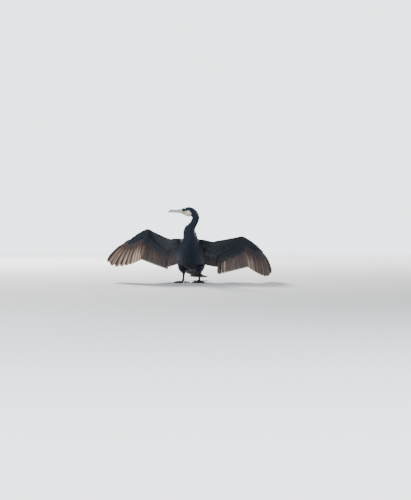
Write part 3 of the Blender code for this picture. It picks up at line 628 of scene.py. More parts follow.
def flight(name, dark, lit, pale, fringe, above, roughness, gloss=0.4):
    """Long feathers: a dark leading vane and shaft, a lighter trailing vane, pale towards the tip where wear has
    thinned it and where painted sunlight shines through it, and a pale rim at the tip. The upper face is darker all
    over."""
    look, tree, shader = principled(name, Roughness=roughness, Specular_IOR_Level=gloss)
    out = vane_outputs(tree, 0.10, 0.08, 70.0)
    tint = add_node(tree, "ShaderNodeAttribute", attribute_name="tint").outputs
    under = add_node(tree, "ShaderNodeAttribute", attribute_name="under").outputs["Fac"]
    own_place = add_node(tree, "ShaderNodeUVMap", uv_map="OFBake").outputs[0]
    inputs = {"Vector": own_place, "Scale": (1.0, 0.22, 1.0)}
    own_place = add_node(tree, "ShaderNodeMapping", inputs, vector_type="POINT").outputs[0]
    streaks = noise(tree, own_place, 60.0)
    share = math_node(tree, "MULTIPLY", out["Trailing"], span(tree, streaks, 0.30, 0.62, 0.45, 1.0))
    own_dark, own_lit = (blend_colours(tree, 1.0, tone, tint["Color"], "MULTIPLY") for tone in (dark, lit))
    colour = blend_colours(tree, share, own_dark, own_lit)
    # Pale streaks towards the tip: wear, and painted sunlight shining through the thin vane
    worn_and_lit = math_node(tree, "MULTIPLY", share, span(tree, out["Along"], 0.32, 0.78))
    patchy = span(tree, noise(tree, own_place, 17.0, 4.0), 0.36, 0.60, 0.10, 1.0)
    worn_and_lit = math_node(tree, "MULTIPLY", math_node(tree, "MULTIPLY", worn_and_lit, tint["Alpha"]), patchy)
    colour = blend_colours(tree, worn_and_lit, colour, pale)
    colour = blend_colours(tree, math_node(tree, "MULTIPLY", out["Shaft"], 0.85), colour, (0.012, 0.009, 0.008, 1))
    tip = span(tree, out["Along"], 0.955, 0.985)
    colour = blend_colours(tree, math_node(tree, "MULTIPLY", tip, 0.85), colour, fringe)
    shaded = blend_colours(tree, 1.0, colour, above, "MULTIPLY")
    tree.links.new(blend_colours(tree, under, shaded, colour), shader.inputs["Base Color"])
    bump(tree, shader, out["Height"], 0.4, 0.0004)
    return look


BODY_LOOK = plumage("body plumage", 0.42, 0.08, 0.45, 26.0, 0.00010, 0.46)
COVERT_LOOK = plumage("covert plumage", 0.42, 0.06, 0.32, 40.0, 0.00015, 0.45, (0.70, 0.80, 1.0, 1))
VENT_LOOK = plumage("vent plumage", 0.65, 0.08, 0.30, 26.0, 0.00010, 0.15)
# Under-wing colours; the pale one is partly wear and partly painted sunlight shining through the vanes
UNDER_WING = {
    "dark": (0.026, 0.021, 0.021, 1),
    "lit": (0.108, 0.081, 0.073, 1),
    "pale": (0.88, 0.67, 0.51, 1),
    "above": (0.17, 0.175, 0.20, 1),
    "roughness": 0.5,
    "gloss": 0.3,
}
PRIMARY_LOOK = flight("primary vane", fringe=(0.40, 0.31, 0.26, 1), **UNDER_WING)
SECONDARY_LOOK = flight("secondary vane", fringe=(0.72, 0.69, 0.66, 1), **UNDER_WING)
TAIL_LOOK = flight(
    "tail vane",
    dark=(0.006, 0.006, 0.008, 1),
    lit=(0.010, 0.010, 0.012, 1),
    pale=(0.02, 0.019, 0.019, 1),
    fringe=(0.03, 0.027, 0.025, 1),
    above=(0.9, 0.9, 0.9, 1),
    roughness=0.55,
    gloss=0.15,
)
SHAFT_LOOK, tree, shader = principled("feather shaft", Roughness=0.35)
along = add_node(tree, "ShaderNodeSeparateXYZ", {0: add_node(tree, "ShaderNodeUVMap", uv_map="vane").outputs[0]}).outputs[1]
colour = blend_colours(tree, along, (0.035, 0.022, 0.016, 1), (0.010, 0.008, 0.007, 1))
tree.links.new(colour, shader.inputs["Base Color"])
looks = (BODY_LOOK, COVERT_LOOK, VENT_LOOK, PRIMARY_LOOK, SECONDARY_LOOK, TAIL_LOOK, SHAFT_LOOK)
print("feather materials:", [look.name for look in looks])

# %% [markdown]
# ## Many feathers from one
# A vane is a grid made solid, and a shaft is a tube. Both are kept as templates: how far across, which step
# along, and which side each point is on. Arrays then lay a template along every feather's own line at once,
# which is quick, and every copy has only a few dozen faces.


# %% Templates and the arrays that lay them
class Template:
    """A closed form of one unit: x across from -1 to 1, y along in steps, z its thickness."""

    def __init__(self, bm, along):
        bm.verts.index_update()
        places = np.array([v.co for v in bm.verts])
        self.across, self.side = places[:, 0], np.sign(places[:, 2])
        self.rise = places[:, 2]
        self.step = np.rint((places[:, 1] + 1) / 2 * along).astype(int)
        self.corners = np.concatenate([[v.index for v in f.verts] for f in bm.faces])
        self.sizes = np.array([len(f.verts) for f in bm.faces])
        self.shares = 1 - (1 - np.arange(along + 1) / along) ** 1.35
        bm.free()


def vane_template(across, along):
    bm = bmesh.new()
    bmesh.ops.create_grid(bm, x_segments=across, y_segments=along, size=1.0)
    bmesh.ops.translate(bm, vec=(0, 0, 1), verts=bm.verts)
    bmesh.ops.solidify(bm, geom=bm.faces[:], thickness=2.0)
    bmesh.ops.recalc_face_normals(bm, faces=bm.faces)
    return Template(bm, along)


def shaft_template(along):
    turns = [math.tau * k / 6 for k in range(6)]
    rings = [[Vector((math.cos(a), 2 * i / along - 1, math.sin(a))) for a in turns] for i in range(along + 1)]
    return Template(tube(rings), along)


def laid(name, template, lines, tints, patches, look, patch_size=0.003, **made_as):
    """One piece of many copies of a template. Each line of the dict of arrays has a feather's numbers:
    centre, side and normal at each step, half widths to both sides, half thickness, and which side leads.
    The attribute named under says which points are on the lower face."""
    step, across = template.step, template.across
    wide = np.where(across > 0, lines["right"][:, step], lines["left"][:, step]) * across
    sag = lines["camber"][:, None] * across**2 * np.abs(wide)
    points = (
        lines["centre"][:, step]
        + lines["side"][:, step] * wide[..., None]
        + lines["normal"][:, step] * (template.rise * lines["thick"][:, step] - sag)[..., None]
    )
    count, per = points.shape[:2]
    mesh = bpy.data.meshes.new(name)
    corners = (template.corners + per * np.arange(count)[:, None]).ravel()
    sizes = np.tile(template.sizes, count)
    mesh.vertices.add(count * per)
    mesh.vertices.foreach_set("co", points.astype(np.float32).ravel())
    mesh.loops.add(len(corners))
    mesh.loops.foreach_set("vertex_index", corners.astype(np.int32))
    mesh.polygons.add(len(sizes))
    mesh.polygons.foreach_set("loop_start", np.concatenate([[0], np.cumsum(sizes)[:-1]]).astype(np.int32))
    mesh.update(calc_edges=True)
    u = 0.5 - 0.5 * across * lines["leads"][:, None]
    v = np.broadcast_to(template.shares[step], (count, per))
    vane = np.stack([u, v], axis=-1).reshape(-1, 2)
    patch = (patches[:, None] + (np.stack([u, v], axis=-1) - 0.5) * patch_size).reshape(-1, 2)
    for label, values in (("vane", vane), ("OFBake", patch)):
        mesh.uv_layers.new(name=label).data.foreach_set("uv", values[corners].astype(np.float32).ravel())
    shown = np.repeat(tints, per, axis=0).astype(np.float32).ravel()
    mesh.attributes.new("tint", "FLOAT_COLOR", "POINT").data.foreach_set("color", shown)
    lower = np.tile(template.rise < 0, count).astype(np.float32)
    mesh.attributes.new("under", "FLOAT", "POINT").data.foreach_set("value", lower)
    obj = bpy.data.objects.new(name, mesh)
    bpy.context.scene.collection.objects.link(obj)
    mesh.shade_smooth()
    mesh.materials.append(look)
    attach(obj, "root")
    if made_as.get("nodes"):
        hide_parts(*made_as["nodes"])
    triangles = int((sizes - 2).sum())
    print(f"{name}: {count} feathers, {triangles} triangles")
    return obj


LONG_VANE, LONG_SHAFT = vane_template(6, 16), shaft_template(16)
COVERT_VANE = vane_template(4, 7)
SMALL_VANE, TINY_VANE = vane_template(2, 5), vane_template(2, 3)
print("faces in a long vane:", len(LONG_VANE.sizes), "and in a small one:", len(SMALL_VANE.sizes))

# %% [markdown]
# ## Flight feathers
# Each wing has ten primaries on the hand, then secondaries along the forearm and tertials on the upper arm.
# Their roots sit on the bones and their directions turn evenly from one named line to the next. Each lies
# in the sheet that its neighbours make and rolls a little, so that its leading edge is over the next one.

# %% Sizes of the long feathers
PRIMARY_LENGTHS = (0.217, 0.232, 0.231, 0.222, 0.213, 0.205, 0.199, 0.194, 0.190, 0.187)
SECONDARY_LENGTHS = (0.190, 0.168)
TERTIAL_LENGTHS = (0.140, 0.146)
TAIL_LENGTH = 0.152
SECONDARIES, TERTIALS, TAIL_FEATHERS = 17, 8, 14
OUTER_BOW, INNER_BOW = 0.075, 0.030
PRIMARY_TILT, SECONDARY_TILT, TAIL_TILT = math.radians(8), math.radians(5.5), math.radians(6)
PRIMARY_HALVES = ((0.0085, 0.0235), (0.0100, 0.0190))
SECONDARY_HALVES = (0.0100, 0.0155)
TERTIAL_HALVES = (0.0120, 0.0165)
TAIL_HALVES = (0.0070, 0.0090)
FLIGHT_OUTLINE = ((0, 0.14), (0.26, 0.40), (0.45, 0.80), (0.85, 1.0), (1, 0.95))
ARM_OUTLINE = ((0, 0.14), (0.18, 0.75), (0.60, 1.0), (1, 0.95))
COVERT_OUTLINE = ((0, 0.30), (0.45, 0.95), (0.75, 1.0), (1, 0.95))
LONG_THICKNESS, SHAFT_RADIUS = 0.0005, 0.0011


# %% A long feather
class Feather:
    """A shaft from its root along a line, with the side that leads in flight and the upper side."""

    def __init__(self, root, line, length, bow, halves):
        self.root, self.line, self.length, self.bow = root, line.normalized(), length, bow
        self.halves = halves

    def face(self, upper, towards, tilt):
        """Lies flat to the upper side, then rolls so that its leading edge is over its neighbour's edge."""
        upper = (upper - upper.dot(self.line) * self.line).normalized()
        leading = self.line.cross(upper)
        if leading.dot(towards) < 0:
            leading = -leading
        self.leading = leading * math.cos(tilt) + upper * math.sin(tilt)
        self.upper = upper * math.cos(tilt) - leading * math.sin(tilt)


def between(first, second, t):
    made = Feather(
        mix(first.root, second.root, t),
        mix(first.line, second.line, t),
        mix(first.length, second.length, t),
        mix(first.bow, second.bow, t),
        first.halves,
    )
    made.face(mix(first.upper, second.upper, t), mix(first.leading, second.leading, t), 0)
    return made


def face_as_sheet(feathers, tilts):
    """Turns each feather to lie in the sheet that it makes with the feathers on both sides of it."""
    middles = [f.root + f.line * f.length * 0.5 for f in feathers]
    uppers = []
    for i in range(len(feathers) - 1):
        upper = feathers[i].line.cross(middles[i + 1] - middles[i]).normalized()
        uppers.append(upper if upper.y > 0 else -upper)
    uppers = [uppers[0], *uppers, uppers[-1]]
    for i, feather in enumerate(feathers):
        near = min(i, len(feathers) - 2)
        feather.face(uppers[i] + uppers[i + 1], middles[near] - middles[near + 1], tilts[i])


def flight_feathers(pose):
    """The primaries, secondaries and tertials of a wing, each from the outermost in."""
    shoulder, elbow, wrist, tip = (pose[key] for key in ("shoulder", "elbow", "wrist", "tip"))
    rows = [[], [], []]
    last = len(PRIMARY_LENGTHS) - 1
    for i, length in enumerate(PRIMARY_LENGTHS):
        t = i / last
        line = pose["inner_primary"].lerp(pose["outer_primary"], (1 - t) ** 2)
        halves = tuple(mix(a, b, t) for a, b in zip(*PRIMARY_HALVES))
        root = mix(tip, wrist, mix(0.08, 0.95, t))
        rows[0].append(Feather(root, line, length, mix(OUTER_BOW, INNER_BOW, t), halves))
    for i in range(SECONDARIES):
        t = i / (SECONDARIES - 1)
        line = pose["inner_primary"].lerp(pose["inner_secondary"], t)
        root = mix(wrist, elbow, mix(0.02, 0.97, t))
        rows[1].append(Feather(root, line, mix(*SECONDARY_LENGTHS, t), INNER_BOW, SECONDARY_HALVES))
    for i in range(TERTIALS):
        t = i / (TERTIALS - 1)
        line = pose["outer_tertial"].lerp(pose["inner_tertial"], t)
        root = mix(elbow, shoulder, mix(0.04, 0.66, t))
        rows[2].append(Feather(root, line, mix(*TERTIAL_LENGTHS, t), INNER_BOW, TERTIAL_HALVES))
    tilts = [PRIMARY_TILT] * len(rows[0]) + [SECONDARY_TILT] * (SECONDARIES + TERTIALS)
    face_as_sheet([feather for row in rows for feather in row], tilts)
    return rows


def rounded(shares, table, round_from):
    """Share of the half width at each share of the length, with a round tip."""
    past = np.clip((shares - round_from) / (1 - round_from), 0, 1)
    return np.interp(shares, *zip(*table)) * np.sqrt(1 - 0.985 * past**2)


def lines_of(feathers, template, outline, round_from, above=(0.0, 0.0), thickness=LONG_THICKNESS, camber=0.025):
    """The arrays that lay a vane along each of these feathers."""
    shares = template.shares
    width = rounded(shares, outline, round_from)
    rows = {key: [] for key in ("centre", "side", "normal", "left", "right", "thick", "leads", "camber")}
    for f in feathers:
        bulge = 4 * f.bow * f.length * shares * (1 - shares)
        rise = mix(*above, shares)
        centre = np.array(f.root) + np.outer(shares * f.length, f.line)
        centre = centre + np.outer(bulge, f.leading) + np.outer(rise, f.upper)
        leads = 1 if f.leading.cross(f.line).dot(f.upper) > 0 else -1
        ahead, behind = (width * half for half in f.halves)
        rows["centre"].append(centre)
        rows["side"].append(np.tile(f.leading * leads, (len(shares), 1)))
        rows["normal"].append(np.tile(f.upper, (len(shares), 1)))
        rows["right"].append(ahead if leads > 0 else behind)
        rows["left"].append(behind if leads > 0 else ahead)
        rows["thick"].append(thickness / 2 * (1 - 0.6 * shares))
        rows["leads"].append(leads)
        rows["camber"].append(camber)
    return {key: np.array(value) for key, value in rows.items()}


def joined_lines(several):
    return {key: np.concatenate([lines[key] for lines in several]) for key in several[0]}


def shaft_lines(lines, shares):
    """The same feathers' shafts: a round rod that tapers from root to tip, half sunk in the vane."""
    radius = np.broadcast_to(SHAFT_RADIUS * (1 - 0.85 * shares), lines["left"].shape)
    return {**lines, "left": radius, "right": radius, "thick": radius * 0.8, "camber": lines["camber"] * 0}


def cells(count):
    """Middles of a square of cells, one for each feather, and the size of a feather's map in its cell."""
    rows = math.ceil(math.sqrt(count))
    places = [((i % rows + 0.5) / rows, (i // rows + 0.5) / rows) for i in range(count)]
    return np.array(places), 0.92 / rows


print("long feathers:", len(PRIMARY_LENGTHS) + SECONDARIES + TERTIALS, "on each wing")

# %% Flight feathers of both wings
# How pale each feather's trailing vane is towards its tip, from the outermost in, partly from wear and partly as
# painted sunlight shining through it: most on the right hand, which the sun lit from behind, and few on the left
WORN_AND_LIT = {
    "right": {"primary": (0.35, 0.60, 0.55, 0.95, 0.75, 1.0, 0.85, 0.90, 0.55, 0.50), "secondary": (0.20, 0.04), "tertial": (0.1,)},
    "left": {"primary": (0.10, 0.10, 0.15, 0.12, 0.25, 0.15, 0.40, 0.30, 1.0, 0.80), "secondary": (0.14,), "tertial": (0.05,)},
}
# Secondaries pale all through, from wear and from painted sunlight shining through them
PALE_SECONDARIES = {"left": (12, 14), "right": ()}
# Painted light and shade: each wing's rows of flight feathers are tinted lighter or darker as the light fell on them,
# the right primaries lit and warm, the left tertials in deep shade
LIGHT_AND_SHADE_OF = {
    "right": {"primary": (1.35, 0.98, 0.88), "secondary": (0.56, 0.55, 0.63), "tertial": (0.64, 0.70, 0.90)},
    "left": {"primary": (0.72, 0.64, 0.74), "secondary": (0.88, 0.86, 0.98), "tertial": (0.12, 0.14, 0.19)},
}
PLAIN = (1.0, 1.0, 1.0)
rng = np.random.default_rng(7)


def shades(count, streak, spread=0.12, base=PLAIN):
    """A slightly different tint for each feather, with how pale its trailing edge is in alpha."""
    light = 1 + spread * (rng.random((count, 1)) - 0.5) * 2
    return np.hstack([np.atleast_2d(base) * light, np.full((count, 1), streak)])


wing_rows = {}
for side, pose in WINGS.items():
    rows = wing_rows[side] = flight_feathers(pose)
    sets = [("primary", rows[0], FLIGHT_OUTLINE, 0.88), ("secondary", rows[1], ARM_OUTLINE, 0.90)]
    sets.append(("tertial", rows[2], ARM_OUTLINE, 0.80))
    nodes = {"primary": [f"wing_{side}_hand"], "secondary": [f"wing_{side}_forearm"], "tertial": [f"wing_{side}_upper"]}
    for kind, feathers, outline, round_from in sets:
        lines = lines_of(feathers, LONG_VANE, outline, round_from)
        places, size = cells(len(feathers))
        # The base tint of each row is its painted light or shade
        tints = shades(len(feathers), 0.0, base=LIGHT_AND_SHADE_OF[side][kind])
        # Paleness of each trailing vane: wear and painted sunlight shining through it
        worn_and_lit = WORN_AND_LIT[side][kind]
        tints[:, 3] = np.interp(np.linspace(0, 1, len(feathers)), np.linspace(0, 1, len(worn_and_lit)), worn_and_lit)
        if kind == "secondary":
            tints[list(PALE_SECONDARIES[side]), 3] = 1.0
        label = f"wing_{side}_{kind}"
        look = PRIMARY_LOOK if kind == "primary" else SECONDARY_LOOK
        laid(label + "_vanes", LONG_VANE, lines, tints, places, look, size, nodes=nodes[kind], slot="flight_feathers")
        rods = shaft_lines(lines, LONG_SHAFT.shares)
        laid(label + "_shafts", LONG_SHAFT, rods, tints, places, SHAFT_LOOK, size, slot="flight_feathers")

# %% The thumb's own small feathers, beside each wrist
ALULA_HALVES, ALULA_LENGTHS = (0.0050, 0.0075), (0.060, 0.052, 0.044)
for side, pose in WINGS.items():
    hand, outermost, several = pose["hand"].normalized(), wing_rows[side][0][0], []
    for i, length in enumerate(ALULA_LENGTHS):
        root = pose["wrist"] + hand * (0.016 + 0.005 * i) + outermost.leading * 0.004
        feather = Feather(root, hand + outermost.leading * (0.10 - 0.06 * i), length, 0.04, ALULA_HALVES)
        feather.face(outermost.upper, outermost.leading, SECONDARY_TILT)
        rise = (0.0055 + 0.0012 * i, 0.0078 + 0.0012 * i)
        several.append(lines_of([feather], COVERT_VANE, ARM_OUTLINE, 0.8, rise))
    places, size = cells(len(several))
    tints = shades(len(several), 0.3, base=(0.05, 0.045, 0.042))
    laid(f"wing_{side}_thumb", COVERT_VANE, joined_lines(several), tints, places, COVERT_LOOK, size, slot="plumage")

# %% Dark feathers that fill the wing's pit, from the last tertial in to the body
AXILLARS, AXILLAR_LENGTHS, AXILLAR_HALVES = 7, (0.138, 0.105), (0.0130, 0.0170)
TRUNK_LINE = Vector((-0.04, 0.775, -0.63))
axillar_rows = {}
for side, pose in WINGS.items():
    last, feathers = wing_rows[side][2][-1], []
    for i in range(AXILLARS):
        t = i / (AXILLARS - 1)
        root = mix(pose["elbow"], pose["shoulder"], mix(0.68, 1.02, t))
        line = mix(last.line, TRUNK_LINE.normalized(), 0.5 * t)
        feathers.append(Feather(root, line, mix(*AXILLAR_LENGTHS, t), 0.0, AXILLAR_HALVES))
    face_as_sheet([last, *feathers], [SECONDARY_TILT] * (AXILLARS + 1))
    axillar_rows[side] = [last, *feathers]
    lines = lines_of(feathers, COVERT_VANE, ARM_OUTLINE, 0.7, (-0.001, -0.001))
    places, size = cells(AXILLARS)
    tints = shades(AXILLARS, 0.2, 0.2, (0.014, 0.016, 0.021))
    laid(f"wing_{side}_axillars", COVERT_VANE, lines, tints, places, COVERT_LOOK, size, slot="plumage")

# %% [markdown]
# ## Tiers of coverts
# Rows of shorter feathers cover the roots of the long ones, above and below. Each row is made from the same
# lines, cut to a share of the length, and lies a few millimetres clear of the row beneath it.

# %% Coverts over and under each wing
# BLACK's blue cast is partly the plumage's own blue-black and partly the painted blue skylight of the shade
BLACK, BRONZE, DUSKY = (0.0155, 0.0188, 0.0258), (0.052, 0.039, 0.028), (0.036, 0.031, 0.031)
# Name, share of the long feather's length, rise from root to tip, spacing, half widths, tint and margin
TIERS = (
    ("greater_upper", 0.46, (0.0034, 0.0040), 0.95, (0.0105, 0.0140), BRONZE, 0.8),
    ("median_upper", 0.33, (0.0058, 0.0064), 0.85, (0.0095, 0.0125), BRONZE, 0.9),
    ("lesser_upper", 0.22, (0.0082, 0.0086), 0.72, (0.0085, 0.0105), BRONZE, 0.9),
    ("greater_under", 0.46, (-0.0034, -0.0042), 0.95, (0.0105, 0.0140), DUSKY, 0.2),
    ("median_under", 0.35, (-0.0056, -0.0064), 0.85, (0.0095, 0.0125), BLACK, 0.3),
    ("lesser_under", 0.24, (-0.0078, -0.0084), 0.72, (0.0085, 0.0105), BLACK, 0.3),
)
HAND_RISE, HAND_REACH, COVERT_ROLL = 0.75, 0.78, math.radians(3)
# The coverts under each hand are brown like its primaries, and like them lighter on the right hand than on the left,
# which is painted light
HAND_UNDER = {"right": (0.085, 0.060, 0.053), "left": (0.050, 0.041, 0.043)}
BROWN_TIERS = ("greater_under", "median_under")


def covert_row(feathers, share, spacing, halves):
    """Shorter feathers along a row of long ones, closer together than they are."""
    count = max(int(len(feathers) / spacing), 3)
    made = []
    for i in range(count):
        place = i / (count - 1) * (len(feathers) - 1)
        near = min(int(place), len(feathers) - 2)
        covert = between(feathers[near], feathers[near + 1], place - near)
        covert.length *= share * (0.90 + 0.20 * rng.random())
        covert.halves = tuple(half * (0.92 + 0.16 * rng.random()) for half in halves)
        covert.line = (covert.line + covert.leading * (0.10 * (rng.random() - 0.5))).normalized()
        covert.face(covert.upper, covert.leading, COVERT_ROLL * (0.5 + rng.random()))
        made.append(covert)
    return made


for side in SIDES:
    for name, share, rise, spacing, halves, base, margin in TIERS:
        several, bases = [], []
        rows = [*wing_rows[side], axillar_rows[side]]
        for row, scale, reach in zip(rows, (HAND_RISE, 1, 1, 1), (HAND_REACH, 1, 1, 1)):
            feathers = covert_row(row, share * reach, spacing, halves)
            rises = tuple(height * scale for height in rise)
            several.append(lines_of(feathers, COVERT_VANE, COVERT_OUTLINE, 0.55, rises, 0.0003, 0.04))
            # Under each hand the coverts take its brown, with the same painted light as its primaries
            brown = reach == HAND_REACH and name in BROWN_TIERS
            bases += [HAND_UNDER[side] if brown else base] * len(feathers)
        lines = joined_lines(several)
        places, size = cells(len(lines["leads"]))
        tints = shades(len(lines["leads"]), margin, 0.22, bases)
        laid(f"wing_{side}_{name}", COVERT_VANE, lines, tints, places, COVERT_LOOK, size, slot="plumage")

# %% Tail feathers and their coverts
TAIL_CENTRE = placed(0, 0.170, 0.0450)
TAIL_FAN, TAIL_TURN, TAIL_DROOP = 3.3, 4.0, -0.20
tail_feathers = []
for i in range(TAIL_FEATHERS):
    k = i - (TAIL_FEATHERS - 1) / 2
    turn = math.radians(TAIL_FAN * k + TAIL_TURN)
    line = Vector((math.sin(turn), math.cos(turn), TAIL_DROOP))
    feather = Feather(TAIL_CENTRE + Vector((0.0019 * k, 0, 0)), line, TAIL_LENGTH * (1 - 0.0058 * k * k), 0, TAIL_HALVES)
    feather.face(UP, Vector((k, 0, 0)), TAIL_TILT)
    tail_feathers.append(feather)
lines = lines_of(tail_feathers, LONG_VANE, ARM_OUTLINE, 0.86)
places, size = cells(TAIL_FEATHERS)
tints = shades(TAIL_FEATHERS, 0.3)
laid("tail_vanes", LONG_VANE, lines, tints, places, TAIL_LOOK, size, slot="tail_feathers", nodes=["tail"])
laid("tail_shafts", LONG_SHAFT, shaft_lines(lines, LONG_SHAFT.shares), tints, places, SHAFT_LOOK, size, slot="tail_feathers")
several = []
for share, rise in ((0.50, (0.0030, 0.0046)), (0.34, (0.0048, 0.0070)), (0.50, (-0.0030, -0.0046)), (0.34, (-0.0048, -0.0070))):
    for half in (tail_feathers[:7], tail_feathers[7:]):
        feathers = covert_row(half, share, 1.0, (0.0080, 0.0100))
        several.append(lines_of(feathers, COVERT_VANE, COVERT_OUTLINE, 0.55, rise, 0.0003, 0.04))
lines = joined_lines(several)
places, size = cells(len(lines["leads"]))
laid("tail_coverts", COVERT_VANE, lines, shades(len(lines["leads"]), 0.3, 0.2, BLACK), places, VENT_LOOK, size, slot="plumage")

# %% [markdown]
# ## Small feathers
# Roots are strewn over the skin: a share of random spots is kept so that no two are closer than the
# feathers there are long. Each feather points from the bill towards the tail on the body, back over the
# bones on a wing and down on a thigh. It follows the skin through three points, and its tip lifts clear.

# %% Where the pale throat is, and how long the feathers are
PALE, BARE_SKIN = (0.90, 0.85, 0.75), (0.68, 0.55, 0.30)
THROAT_BACK, THROAT_LOWEST = -0.029, 0.36
BARE_FROM = ((0.385, 0.011), (0.400, 0.004), (0.4105, -0.005), (0.4150, 0.001), (0.4180, 0.012))
THROAT_TOP = ((-0.029, 0.404), (-0.024, 0.4125), (-0.017, 0.4190), (-0.003, 0.4150), (0.017, 0.4135), (0.036, 0.410))


def in_head(spots):
    """Forward, sideways and height of each spot in the head's own axes."""
    away = spots - np.array(HOME + EYE_PLANE)
    return away @ np.array(FORWARD), away @ np.array(SIDEWAYS), spots[:, 2] - HOME.z


def markings(spots):
    """Which spots are in the pale patch of cheek and throat, and which of those are bare skin."""
    forward, _, height = in_head(spots)
    below = (height < np.interp(forward, *zip(*THROAT_TOP))) & (height > THROAT_LOWEST)
    throat = below & (forward > THROAT_BACK)
    return throat, throat & (forward > np.interp(height, *zip(*BARE_FROM)))


BODY_LENGTHS = (
    (0, 0.017), (0.2, 0.018), (0.45, 0.0155), (0.56, 0.012), (0.66, 0.0084), (0.80, 0.0064), (0.88, 0.0046), (1, 0.0031)
)
SCAPULAR_LENGTH, WING_LENGTH, THIGH_LENGTH = 0.030, 0.0145, 0.0105
BODY_SPACING, HEAD_SPACING = 0.31, 0.42
BODY_WIDTH, HEAD_WIDTH = 0.60, 0.50


def on_shoulders(spots, share):
    """How much each spot of the body is on the bronze feathers beside the upper back."""
    aside = np.abs(spots[:, 0] - HOME.x - 0.004)
    return np.interp(aside, (0.022, 0.034), (0, 1)) * np.interp(share, (0.22, 0.30, 0.48, 0.54), (0, 1, 1, 0))


def faces_back(normals):
    """Which spots look backwards and not down."""
    return (normals[:, 1] > 0.25) & (normals[:, 2] > -0.05)


def feather_lengths(spots, normals):
    names, share, foot = limb_of(spots)
    body = np.interp(share, *zip(*BODY_LENGTHS))
    body = np.where(faces_back(normals), mix(body, SCAPULAR_LENGTH, on_shoulders(spots, share)), body)
    wing, thigh = np.char.startswith(names, "wing"), np.char.startswith(names, "thigh")
    return np.where(wing, WING_LENGTH, np.where(thigh, THIGH_LENGTH, body))


def along_body(spots, on_trunk, on_head):
    """One value over the trunk and limbs and another on the head, with a change along the neck."""
    names, share, _ = limb_of(spots)
    return np.where(names == "body", np.interp(share, (NECK_SHARE, HEAD_SHARE + 0.03), (on_trunk, on_head)), on_trunk)


def lies(spots):
    """The direction in which the feathers point at each spot."""
    names, share, _ = limb_of(spots)
    made = np.zeros((len(spots), 3))
    tangents = np.gradient(body_rows[:, :3], axis=0)
    for name in limbs:
        here = names == name
        if name == "body":
            places = share[here] * (len(body_rows) - 1)
            made[here] = -np.stack([np.interp(places, range(len(tangents)), tangents[:, k]) for k in range(3)], axis=1)
        elif name.startswith("wing"):
            pose = WINGS[name.split("_")[1]]
            turn = [pose["inner_tertial"], pose["outer_tertial"], pose["inner_secondary"]]
            turn += [pose["inner_secondary"].lerp(pose["inner_primary"], 0.5), pose["inner_primary"]]
            turn += [pose["inner_primary"].lerp(pose["outer_primary"], 0.5), pose["outer_primary"]]
            lines = np.array([line.normalized() for line in turn])
            places = share[here] * (len(turn) - 1)
            made[here] = np.stack([np.interp(places, range(len(turn)), lines[:, k]) for k in range(3)], axis=1)
        else:
            side = name.split("_")[1]
            made[here] = np.array(on_side(side, *ANKLE) - on_side(side, *KNEE))
    return made


def unit(rows):
    return rows / np.maximum(np.linalg.norm(rows, axis=-1, keepdims=True), 1e-9)


# %% Roots strewn over the skin
def strewn(mesh, candidates):
    """Spots on the skin with their normals, none closer to another than the spacing there."""
    mesh.calc_loop_triangles()
    corners = np.empty(len(mesh.loop_triangles) * 3, np.int32)
    mesh.loop_triangles.foreach_get("vertices", corners)
    places, normals = np.empty(len(mesh.vertices) * 3), np.empty(len(mesh.vertices) * 3)
    mesh.vertices.foreach_get("co", places)
    mesh.vertex_normals.foreach_get("vector", normals)
    corners, places, normals = corners.reshape(-1, 3), places.reshape(-1, 3), normals.reshape(-1, 3)
    a, b, c = (places[corners[:, k]] for k in range(3))
    middle_normals = unit(normals[corners].sum(axis=1))
    middles = (a + b + c) / 3
    spacing = feather_lengths(middles, middle_normals) * along_body(middles, BODY_SPACING, HEAD_SPACING)
    chance = np.linalg.norm(np.cross(b - a, c - a), axis=1) / spacing**2
    picked = rng.choice(len(corners), candidates, p=chance / chance.sum())
    s, t = rng.random((2, candidates))
    s, t = np.where(s + t > 1, 1 - s, s)[:, None], np.where(s + t > 1, 1 - t, t)[:, None]
    spots = a[picked] * (1 - s - t) + b[picked] * s + c[picked] * t
    tree = KDTree(candidates)
    for i, spot in enumerate(spots):
        tree.insert(spot, i)
    tree.balance()
    alive = np.ones(candidates, bool)
    for i, (spot, room) in enumerate(zip(spots, spacing[picked])):
        if alive[i]:
            for _, j, _ in tree.find_range(spot, room):
                if j > i:
                    alive[j] = False
    return spots[alive], middle_normals[picked][alive]


CANDIDATES = 160000
EYE_GAP = 0.0066
roots, root_normals = strewn(skin.data, CANDIDATES)
eyes = {side: head_point(0, SIDES[side] * EYE_OUT, EYE_HEIGHT) for side in SIDES}
eye_gap = np.min([np.linalg.norm(roots - np.array(eye), axis=1) for eye in eyes.values()], axis=0)
wanted = ~markings(roots)[1] & (eye_gap > EYE_GAP)
roots, root_normals = roots[wanted], root_normals[wanted]
print("small feathers:", len(roots))


# %% Lines of the small feathers
SINK, LIFT, OVER_EDGE = 0.012, 0.065, 0.30
surface = BVHTree.FromPolygons([v.co for v in skin.data.vertices], [p.vertices for p in skin.data.polygons])


def on_skin(spots, limit):
    """The nearest point of the skin and its normal, or the spot itself where the skin is far."""
    places, normals, near = spots.copy(), np.zeros_like(spots), np.zeros(len(spots), bool)
    for i, spot in enumerate(spots):
        place, normal, _, away = surface.find_nearest(spot)
        if away < limit[i]:
            places[i], normals[i], near[i] = place, normal, True
    return places, normals, near


